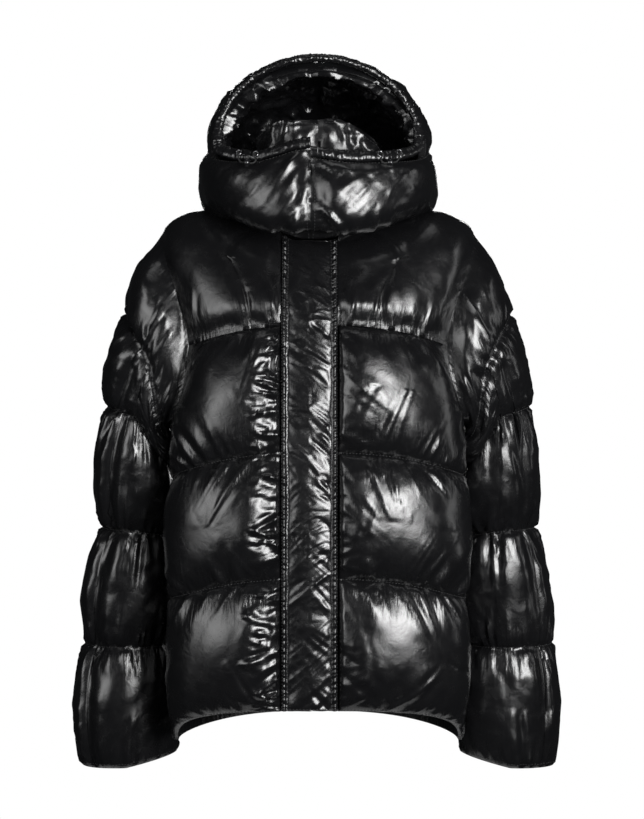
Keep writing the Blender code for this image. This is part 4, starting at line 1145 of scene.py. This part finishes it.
def make_thread():
    material, nodes, links, surface, place = blank("sewing_thread")
    twist = noise_field(nodes, links, place, 2500, 2)
    two_tone(nodes, links, twist, (0.010, 0.010, 0.010), (0.040, 0.040, 0.042), surface)
    surface.inputs["Roughness"].default_value = 0.45
    links.new(raised(nodes, links, twist, 0.0001, 0.5), surface.inputs["Normal"])
    return material


def make_floor():
    material, nodes, links, surface, place = blank("pale_floor")
    grain = noise_field(nodes, links, place, 30, 3)
    two_tone(nodes, links, grain, (0.86, 0.86, 0.86), (0.90, 0.90, 0.90), surface)
    surface.inputs["Roughness"].default_value = 0.6
    return material


made = {}  # materials by the names below


def made_material(name):
    """A material by name, made when it is first asked for."""
    makers = {
        "gloss_nylon": lambda: make_nylon("nylon_shell", 0.20, 0.30, 1.0),
        "lining": lambda: make_nylon("nylon_lining", 0.34, 0.46, 1.4, 0.35, 0.0),
        "eyelet_metal": make_metal,
        "stopper_plastic": make_plastic,
        "elastic_cord": make_braid,
        "thread": make_thread,
        "floor": make_floor,
    }
    if name not in made:
        made[name] = makers[name]()
    return made[name]


# ---- stage ---------------------------------------------------------------------------------------
CAMERA_PLACE = (0.005, -3.3, -0.252)
LENS, SENSOR = 111.5, 36.0
# a softbox is brighter in its middle: layers of panels, each smaller and a little nearer than the last
Softbox = namedtuple("Softbox", "name place target width height power layers")
SOFTBOXES = (
    Softbox("key", (1.12, -2.35, 0.00), (0.0, 0.0, -0.28), 1.40, 1.50, 82, 5),
    Softbox("fill", (-2.00, -1.95, 0.00), (0.0, 0.0, -0.28), 2.00, 1.90, 27, 5),
    Softbox("side", (2.6, -0.3, 0.2), (0.0, 0.0, -0.30), 0.4, 1.8, 5, 1),
    Softbox("top", (0.1, -0.5, 1.9), (0.0, 0.0, -0.20), 1.0, 0.6, 2.5, 1),
    Softbox("behind", (0.0, 3.0, 0.2), (0.0, 0.0, -0.25), 1.2, 2.0, 40, 1),
)
FLOOR_BEHIND = 0.80  # how far behind the jacket the floor's middle lies
LAYER_STEP = 0.012
SMALLEST_LAYER = 0.30  # the size of the last layer, as a share of the first


def aimed(thing, place, target):
    thing.location = place
    thing.rotation_euler = (Vector(target) - Vector(place)).to_track_quat("-Z", "Y").to_euler()


def make_stage():
    scene = bpy.context.scene
    scene.view_settings.view_transform = "Standard"
    camera = placed("camera", bpy.data.cameras.new("camera"))
    camera.data.lens, camera.data.sensor_width = LENS, SENSOR
    aimed(camera, CAMERA_PLACE, (CAMERA_PLACE[0], 0, CAMERA_PLACE[2]))
    scene.camera = camera
    for box in SOFTBOXES:
        sizes = [mix(1.0, SMALLEST_LAYER, k / max(1, box.layers - 1)) for k in range(box.layers)]
        for k, size in enumerate(sizes):
            data = bpy.data.lights.new(f"{box.name}_{k}", "AREA")
            data.shape, data.size, data.size_y = "RECTANGLE", box.width * size, box.height * size
            data.energy = box.power * size**2 / sum(each**2 for each in sizes)
            towards = (Vector(box.target) - Vector(box.place)).normalized() * LAYER_STEP * k
            aimed(placed(data.name, data), Vector(box.place) + towards, box.target)
    world = bpy.data.worlds.new("studio")
    scene.world = world
    world.use_nodes = True
    nodes, links = world.node_tree.nodes, world.node_tree.links
    dim = nodes["Background"]
    dim.inputs["Color"].default_value = (0.9, 0.95, 1.0, 1)
    dim.inputs["Strength"].default_value = 0.016
    bright = nodes.new("ShaderNodeBackground")
    bright.inputs["Color"].default_value = (1, 1, 1, 1)
    seen = nodes.new("ShaderNodeLightPath")
    choice = nodes.new("ShaderNodeMixShader")
    links.new(seen.outputs["Is Camera Ray"], choice.inputs["Fac"])
    links.new(dim.outputs[0], choice.inputs[1])
    links.new(bright.outputs[0], choice.inputs[2])
    links.new(choice.outputs[0], nodes["World Output"].inputs["Surface"])
    grid = bmesh.new()
    bmesh.ops.create_grid(grid, x_segments=12, y_segments=12, size=0.9)
    for vert in grid.verts:
        vert.co.y += FLOOR_BEHIND
        vert.co.z = settings().floor_height
    floor = finished(grid, "floor", made_material("floor"))


def finished(shape, name, surface):
    """Makes an object of a bmesh, with its faces outwards."""
    bmesh.ops.recalc_face_normals(shape, faces=shape.faces[:])
    mesh = bpy.data.meshes.new(name)
    shape.to_mesh(mesh)
    shape.free()
    mesh.materials.append(surface)
    mesh.shade_smooth()
    mesh.set_sharp_from_angle(angle=math.radians(SHARP_ANGLE))
    return placed(name, mesh)


# ---- small parts ---------------------------------------------------------------------------------
def smooth_route(points, count):
    """A smooth curve through those points, as a line of many more."""
    spots = np.array([tuple(point) for point in points])
    return [Vector(row) for row in between(spots, np.linspace(0, len(points) - 1, count + 1))]


def turned(name, section, centre, axis, surface, steps):
    """A closed ring: a section of (radius, along) pairs turned about an axis through centre."""
    shape = bmesh.new()
    verts = [shape.verts.new((radius, 0, along)) for radius, along in section]
    edges = [shape.edges.new((verts[k], verts[(k + 1) % len(verts)])) for k in range(len(verts))]
    bmesh.ops.spin(
        shape, geom=verts + edges, axis=(0, 0, 1), cent=(0, 0, 0),
        steps=steps, angle=math.tau, use_merge=True,
    )
    bmesh.ops.remove_doubles(shape, verts=shape.verts[:], dist=1e-6)
    turn = Vector((0, 0, 1)).rotation_difference(axis)
    for vert in shape.verts:
        vert.co = turn @ vert.co + centre
    return finished(shape, name, surface)


def eyelet_section():
    angles = [math.tau * k / 16 for k in range(16)]
    return [(EYELET_RADIUS + EYELET_WIRE * math.cos(a), EYELET_WIRE * math.sin(a)) for a in angles]


def stopper_section():
    """A rounded barrel with a bore."""
    half, top = STOPPER_HALF_LENGTH, math.sin(math.radians(STOPPER_ARC))
    arc = [math.radians(a) for a in range(-STOPPER_ARC, STOPPER_ARC + 1, 8)]
    side = [(STOPPER_RADIUS * max(0.35, math.cos(a * 1.12)), half * math.sin(a) / top) for a in arc]
    return [(STOPPER_BORE, -half * 0.80), *side, (STOPPER_BORE, half * 0.80)]


def make_eyelets():
    for name, x in EYELET_X.items():
        point, _, forward = channel_front(x)
        centre = point + forward * (EYELET_WIRE + 2 * HALF_GAP)
        metal = made_material("eyelet_metal")
        ring = turned(f"eyelet_{name}_ring", eyelet_section(), centre, forward, metal, 48)
        ride(ring, "eyelet_metal", f"eyelet_{name}")


def cord_half(end, way_out, centre, across):
    """The route from an eyelet to the stopper's middle. across runs from that eyelet to the other."""
    half = STOPPER_HALF_LENGTH
    return [
        end + way_out * CORD_START,
        end + way_out * CORD_OUT + (centre - end).normalized() * CORD_TURN,
        end.lerp(centre, CORD_BOW_AT) + Vector(CORD_SAG) - across * CORD_BOW,
        centre - across * (half + STOPPER_CLEAR),
        centre - across * half * 0.3,
    ]


def make_cords():
    for _, word in SIDES:
        outer, _, outer_way = channel_front(EYELET_X[f"{word}_outer"])
        inner, _, inner_way = channel_front(EYELET_X[f"{word}_inner"])
        centre = inner.lerp(outer, 0.5) + Vector(STOPPER_HANGS)
        across = (inner - outer).normalized()
        route = cord_half(outer, outer_way, centre, across)
        route += cord_half(inner, inner_way, centre, -across)[::-1]
        points = evenly(smooth_route(route, 200), 60)
        curve = bpy.data.curves.new(f"elastic_{word}", "CURVE")
        curve.dimensions = "3D"
        curve.bevel_depth = CORD_RADIUS
        curve.bevel_resolution = 4
        curve.use_fill_caps = True
        line = curve.splines.new("POLY")
        line.points.add(len(points) - 1)
        for spot, point in zip(line.points, points):
            spot.co = (*point, 1)
        curve.materials.append(made_material("elastic_cord"))
        piece = placed(f"elastic_{word}", curve)
        ride(piece, "elastic_cord", f"cord_{word}")
        plastic = made_material("stopper_plastic")
        stopper = turned(f"bead_{word}", stopper_section(), centre, across, plastic, 40)
        ride(stopper, "stopper_plastic", f"stopper_{word}")


# ---- the channel round the face ------------------------------------------------------------------
CHANNEL_SIDES, CHANNEL_STEPS, CHANNEL_SLIT = 20, 620, 0.0006
TUCK_PITCH, TUCK_DEPTH, CRUSH_DEPTH = 0.0056, 0.0003, 0.0019
PRESSED_BACK = 0.0040  # how far the channel's back reaches to the crown's edge


def make_channel():
    """The gathered tube round the face, with both its ends closed at a fine slit at the lowest point."""
    frames = channel_frames(CHANNEL_STEPS)
    frames = frames + frames[:1]
    spots = np.array([tuple(frame[0]) for frame in frames])
    outward = np.array([tuple(frame[1]) for frame in frames])
    forward = np.array([tuple(frame[2]) for frame in frames])
    spots[0, 0] += CHANNEL_SLIT
    spots[-1, 0] -= CHANNEL_SLIT
    shape = bmesh.new()
    bmesh.ops.create_grid(shape, x_segments=CHANNEL_SIDES, y_segments=CHANNEL_STEPS, size=1.0)
    flat = np.array([tuple(vert.co) for vert in shape.verts])
    corner = np.rint((flat[:, 0] + 1) / 2 * CHANNEL_SIDES)
    k = np.rint((flat[:, 1] + 1) / 2 * CHANNEL_STEPS).astype(int)
    turn = 2 * np.pi * (corner % CHANNEL_SIDES) / CHANNEL_SIDES
    length = distance_along(spots)[k]
    lean = 0.0035 * np.sin(turn) * np.cos(length * 40)
    tucks = 2 * np.pi * (length + lean) / TUCK_PITCH + 5.0 * wander(length, "channel step", 0.021)
    fold = np.cos(tucks) * (0.8 + 0.9 * wander(length, "channel deep", 0.017))
    fade = smooth(np.minimum(length, length.max() - length) / 0.006)
    around = np.stack((0 * turn, 0.008 * np.cos(turn), 0.008 * np.sin(turn)), axis=1)
    crushed = creases(spots[k] + around, "channel", 0.017) - 0.3
    swell = (TUCK_DEPTH * fold + CRUSH_DEPTH * crushed) * fade
    thinner = 0.0024 * smooth((spots[k, 2] - OPENING_Z) / 0.03)
    radial = CHANNEL_RADIAL - 0.0012 - thinner + swell
    ahead = CHANNEL_FORWARD - 0.0008 + swell + PRESSED_BACK * np.maximum(0.0, -np.sin(turn))
    lifted = np.where(spots[:, 2] < OPENING_Z - 0.004, brim_lift(spots[:, 0], spots[:, 1]), 0.0)
    spots[:, 2] += lifted
    points = spots[k] + outward[k] * (radial * np.cos(turn))[:, None]
    points = points + forward[k] * (ahead * np.sin(turn))[:, None]
    for vert, point in zip(shape.verts, points):
        vert.co = point
    bmesh.ops.remove_doubles(shape, verts=shape.verts[:], dist=1e-7)
    bmesh.ops.holes_fill(shape, edges=[edge for edge in shape.edges if edge.is_boundary], sides=0)
    piece = finished(shape, "gathered_channel", made_material("gloss_nylon"))
    ride(piece, "gloss_nylon", "hood_channel")


# ---- the order of making -------------------------------------------------------------------------
def armhole_levels(low, high, count):
    """Levels on the armhole's edge, at even angles round it."""

    def angle(level):
        return math.acos(max(-1.0, min(1.0, (level - ARMHOLE_MIDDLE) / ARMHOLE_HALF)))

    angles = [mix(angle(low), angle(high), k / count) for k in range(count + 1)]
    return [ARMHOLE_MIDDLE + ARMHOLE_HALF * math.cos(turn) for turn in angles]


def steps(*parts):
    """Even steps through a row of (start, end, count) parts, each start being the end before it."""
    found = [parts[0][0]]
    for start, end, count in parts:
        found += [mix(start, end, k / count) for k in range(1, count)] + [end]
    return found


def body_rows(finer):
    """Levels from the hem to the yoke, at even angles beside the armhole."""
    low = steps((0, 1, round(44 * finer)), (1, 2, round(42 * finer)), (2, ARMPIT_LEVEL, round(18 * finer)))
    return low + armhole_levels(ARMPIT_LEVEL, YOKE, round(26 * finer))[1:-1] + [YOKE]


FRONT_ROWS, BACK_ROWS = body_rows(1.35), body_rows(1.0)
YOKE_ROWS = [3] + armhole_levels(YOKE, SHOULDER, 34)[1:-1] + steps((4, 5, 24), (5, 6, 3))
SLEEVE_ROWS = steps((5, 4, 38), (4, 3, 36), (3, 2, 38), (2, 1, 34), (1, 0, 34))


def even_steps(count, start=0.0, end=1.0):
    return [mix(start, end, k / count) for k in range(count + 1)]


YOKE_CAP = 0.0035  # a yoke stays nearly flat
FLAP_COLUMNS = steps((0, 0.13, 9), (0.13, 0.87, 26), (0.87, 1, 9))


def make_torso():
    for side, word in SIDES:
        across = even_steps(88)
        cut(f"front_{word}", across[::side], FRONT_ROWS, front_lay(side, word), cap=0.012)
        for part, outer, count in (("inner", False, 24), ("outer", True, 60)):
            name = f"yoke_front_{part}_{word}"
            lay = yoke_lay(side, name, outer)
            cut(name, even_steps(count)[::side], YOKE_ROWS, lay, spare=0.07, cap=YOKE_CAP)
    across = even_steps(130)[::-1]
    cut("back", across, BACK_ROWS, back_lay("back"), cap=0.012)
    cut("yoke_back", across, YOKE_ROWS, back_lay("yoke_back"), spare=0.07)


def make_flap():
    cut("storm_flap", FLAP_COLUMNS, even_steps(420, 0.012, 4.8), flap_lay, spare=0.04, cap=0.006)


def make_sleeves():
    for side, word in SIDES:
        for top, part, count in ((True, "top", 76), (False, "under", 96)):
            name = f"sleeve_{part}_{word}"
            cut(name, even_steps(count)[::-side], SLEEVE_ROWS, sleeve_lay(side, top, word), cap=0.009)


def make_hood():
    for side, word in SIDES:
        rows = steps((0, 2, 14), (2, 5, 48))
        cut(f"hood_funnel_{word}", even_steps(150)[::side], rows, funnel_lay(side, word), spare=0.07)
        across = even_steps(40, 0, 0.3) + even_steps(60, 0.3, 1.0)[1:]
        cut(f"hood_crown_{word}", across[::side], even_steps(80), crown_lay(side, word), spare=0.05)


def make_collar():
    for side, word in SIDES:
        across, rows = even_steps(80)[::side], even_steps(30, 0, 2)
        cut(f"collar_{word}", across, rows, collar_lay(side, word), spare=0.08)


def fill_panels():
    blown_up(waiting)
    for panel in waiting:
        panel["outer"] = held_back(panel)
        close_wall(panel)


# ---- stitching -----------------------------------------------------------------------------------
STITCH_LENGTH, STITCH_WIDTH, STITCH_HEIGHT = 0.0030, 0.0008, 0.0006


def seam_line(panel, columns, rows):
    """Points and outward directions along a line of a panel's outer side, at places in its grid."""
    j, i = panel["place"]
    sheet = np.zeros((j.max() + 1, i.max() + 1, 3))
    sheet[j, i] = panel["outer"]
    out = np.zeros_like(sheet)
    out[j, i] = panel["out"]
    points = []
    for grid in (sheet, out):
        low_c = np.minimum(np.floor(columns).astype(int), grid.shape[1] - 2)
        low_r = np.minimum(np.floor(rows).astype(int), grid.shape[0] - 2)
        c, r = (columns - low_c)[:, None], (rows - low_r)[:, None]
        near = mix(grid[low_r, low_c], grid[low_r, low_c + 1], c)
        far = mix(grid[low_r + 1, low_c], grid[low_r + 1, low_c + 1], c)
        points.append(mix(near, far, r))
    return points


def sew(shape, points, out):
    """Adds a stitch every few millimetres along a line on the cloth."""
    pitch = settings().stitch_pitch
    length = distance_along(points)
    for place in np.arange(pitch / 2, length[-1], pitch):
        spot, before, after = (
            Vector([np.interp(place + step, length, points[:, way]) for way in range(3)])
            for step in (0, -STITCH_LENGTH / 2, STITCH_LENGTH / 2)
        )
        along = (after - before).normalized()
        up = Vector([np.interp(place, length, out[:, way]) for way in range(3)])
        up = (up - along * up.dot(along)).normalized()
        turn = Matrix((along, up.cross(along), up)).transposed().to_4x4()
        size = Matrix.Diagonal((STITCH_LENGTH / 2, STITCH_WIDTH / 2, STITCH_HEIGHT, 1))
        place_it = Matrix.Translation(spot + up * STITCH_HEIGHT * 0.3) @ turn @ size
        bmesh.ops.create_icosphere(shape, subdivisions=1, radius=1.0, matrix=place_it)


def stitched_rows(panel):
    """The stitch lines of a panel as (columns, rows) of its grid."""
    name, (j, i) = panel["name"], panel["place"]
    wide, high = i.max(), j.max()
    across, up = np.linspace(0, wide, 4 * wide + 1), np.linspace(0, high, 4 * high + 1)

    def at_column(place):
        return np.full(len(up), float(place)), up

    def at_row(place):
        return across, np.full(len(across), float(place))

    if name == "storm_flap":
        shares = [reach / (FLAP_RIGHT + FLAP_LEFT) for reach in (FLAP_STITCH_OUT, FLAP_STITCH_IN)]
        places = np.interp(shares + [1 - share for share in shares], FLAP_COLUMNS, range(len(FLAP_COLUMNS)))
        found = [at_column(place) for place in places]
        return found + [at_row(place) for place in (0.7, 2.1)]
    if name.startswith(("front", "back")):
        rows = FRONT_ROWS if name.startswith("front") else BACK_ROWS
        return [at_row(1.2)] + [at_row(rows.index(seam)) for seam in (WAIST, CHEST)]
    if name.startswith("yoke"):
        return [at_row(0.9)]
    if name.startswith("sleeve"):
        return [at_row(1.3)] + [at_row(SLEEVE_ROWS.index(seam)) for seam in (1, 2, 3, 4)]
    if name.startswith("hood_funnel"):
        return [at_row(high - 0.8), at_column(1.0 if name.endswith("left") else wide - 1.0)]
    if name.startswith("collar"):
        return [at_row(high - 1.5)]
    return []


def make_stitching():
    for name, parts in (
        ("stitching_body", ("front", "back", "yoke", "storm_flap")),
        ("stitching_sleeves", ("sleeve",)),
        ("stitching_hood", ("hood_funnel", "collar")),
    ):
        shape = bmesh.new()
        for panel in waiting:
            if panel["name"].startswith(parts):
                for columns, rows in stitched_rows(panel):
                    sew(shape, *seam_line(panel, columns, rows))
        piece = finished(shape, name, made_material("thread"))
        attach(piece, "root")


# ---- the add-on ----------------------------------------------------------------------------------
class JacketSettings(bpy.types.PropertyGroup):
    """Sizes, cloth and colours that a user may change"""

    filling: bpy.props.FloatProperty(
        name="Filling pressure", description="How hard the filling pushes the cloth out",
        default=20.0, min=0.0,
    )
    ease: bpy.props.FloatProperty(
        name="Ease", description="How much longer the cloth is cut than its panel", default=0.001, min=0.0
    )
    stiffness: bpy.props.FloatProperty(
        name="Bending stiffness", description="How stiffly the cloth bends", default=0.12, min=0.0
    )
    cloth_frames: bpy.props.IntProperty(
        name="Cloth frames", description="How long the panels are blown up for", default=22, min=1
    )
    shell_dark: bpy.props.FloatVectorProperty(
        name="Shell, dark", description="The darker tone of the nylon", default=(0.0034, 0.0034, 0.0038),
        subtype="COLOR", min=0.0, max=1.0,
    )
    shell_light: bpy.props.FloatVectorProperty(
        name="Shell, light", description="The lighter tone of the nylon", default=(0.0070, 0.0070, 0.0077),
        subtype="COLOR", min=0.0, max=1.0,
    )
    floor_height: bpy.props.FloatProperty(
        name="Floor height", description="Height of the studio floor", default=-1.90, unit="LENGTH"
    )
    stitch_pitch: bpy.props.FloatProperty(
        name="Stitch pitch", description="From one stitch to the next",
        default=0.0042, min=0.001, unit="LENGTH",
    )


def settings():
    return bpy.context.scene.jacket_settings


class JACKET_OT_stage(bpy.types.Operator):
    """Sets up the camera, the lights and the floor"""

    bl_idname = "jacket.stage"
    bl_label = "Studio"

    def execute(self, context):
        make_stage()
        return {"FINISHED"}


class JACKET_OT_cords(bpy.types.Operator):
    """Makes the two elastic cords with their stoppers"""

    bl_idname = "jacket.cords"
    bl_label = "Cords and stoppers"

    def execute(self, context):
        make_cords()
        return {"FINISHED"}


class JACKET_OT_eyelets(bpy.types.Operator):
    """Makes the four metal eyelets"""

    bl_idname = "jacket.eyelets"
    bl_label = "Eyelets"

    def execute(self, context):
        make_eyelets()
        return {"FINISHED"}


class JACKET_OT_torso(bpy.types.Operator):
    """Cuts the fronts, the yokes and the back"""

    bl_idname = "jacket.torso"
    bl_label = "Fronts, yokes and back"

    def execute(self, context):
        make_torso()
        return {"FINISHED"}


class JACKET_OT_flap(bpy.types.Operator):
    """Cuts the flap over the front closure"""

    bl_idname = "jacket.flap"
    bl_label = "Storm flap"

    def execute(self, context):
        make_flap()
        return {"FINISHED"}


class JACKET_OT_sleeves(bpy.types.Operator):
    """Cuts both sleeves, two panels each"""

    bl_idname = "jacket.sleeves"
    bl_label = "Sleeves"

    def execute(self, context):
        make_sleeves()
        return {"FINISHED"}


class JACKET_OT_hood(bpy.types.Operator):
    """Cuts the lower hood and the crown"""

    bl_idname = "jacket.hood"
    bl_label = "Hood"

    def execute(self, context):
        make_hood()
        return {"FINISHED"}


class JACKET_OT_collar(bpy.types.Operator):
    """Cuts the stand collar inside the hood"""

    bl_idname = "jacket.collar"
    bl_label = "Collar"

    def execute(self, context):
        make_collar()
        return {"FINISHED"}


class JACKET_OT_channel(bpy.types.Operator):
    """Makes the gathered channel round the face"""

    bl_idname = "jacket.channel"
    bl_label = "Channel round the face"

    def execute(self, context):
        make_channel()
        return {"FINISHED"}


class JACKET_OT_filling(bpy.types.Operator):
    """Blows the cut panels up and closes their walls"""

    bl_idname = "jacket.filling"
    bl_label = "Fill the panels"

    def execute(self, context):
        if not waiting:
            raise RuntimeError("no panel is cut yet")
        fill_panels()
        return {"FINISHED"}


class JACKET_OT_stitching(bpy.types.Operator):
    """Sews the stitch lines onto the filled panels"""

    bl_idname = "jacket.stitching"
    bl_label = "Stitching"

    def execute(self, context):
        if not waiting:
            raise RuntimeError("no panel is cut yet")
        make_stitching()
        return {"FINISHED"}


OPERATORS = (
    JACKET_OT_stage,
    JACKET_OT_cords,
    JACKET_OT_eyelets,
    JACKET_OT_torso,
    JACKET_OT_flap,
    JACKET_OT_sleeves,
    JACKET_OT_hood,
    JACKET_OT_collar,
    JACKET_OT_channel,
    JACKET_OT_filling,
    JACKET_OT_stitching,
)


class JACKET_PT_panel(bpy.types.Panel):
    """The steps of making the jacket"""

    bl_idname = "JACKET_PT_panel"
    bl_label = "Puffer jacket"
    bl_space_type = "VIEW_3D"
    bl_region_type = "UI"
    bl_category = "Jacket"

    def draw(self, context):
        for name in JacketSettings.__annotations__:
            self.layout.prop(context.scene.jacket_settings, name)
        for operator in OPERATORS:
            self.layout.operator(operator.bl_idname)


CLASSES = (JacketSettings, *OPERATORS, JACKET_PT_panel)


def register():
    for kind in CLASSES:
        bpy.utils.register_class(kind)
    bpy.types.Scene.jacket_settings = bpy.props.PointerProperty(type=JacketSettings)


def unregister():
    del bpy.types.Scene.jacket_settings
    for kind in reversed(CLASSES):
        bpy.utils.unregister_class(kind)


def main():
    register()
    for operator in OPERATORS:
        getattr(bpy.ops.jacket, operator.bl_idname.split(".")[1])()


if __name__ == "__main__":
    main()
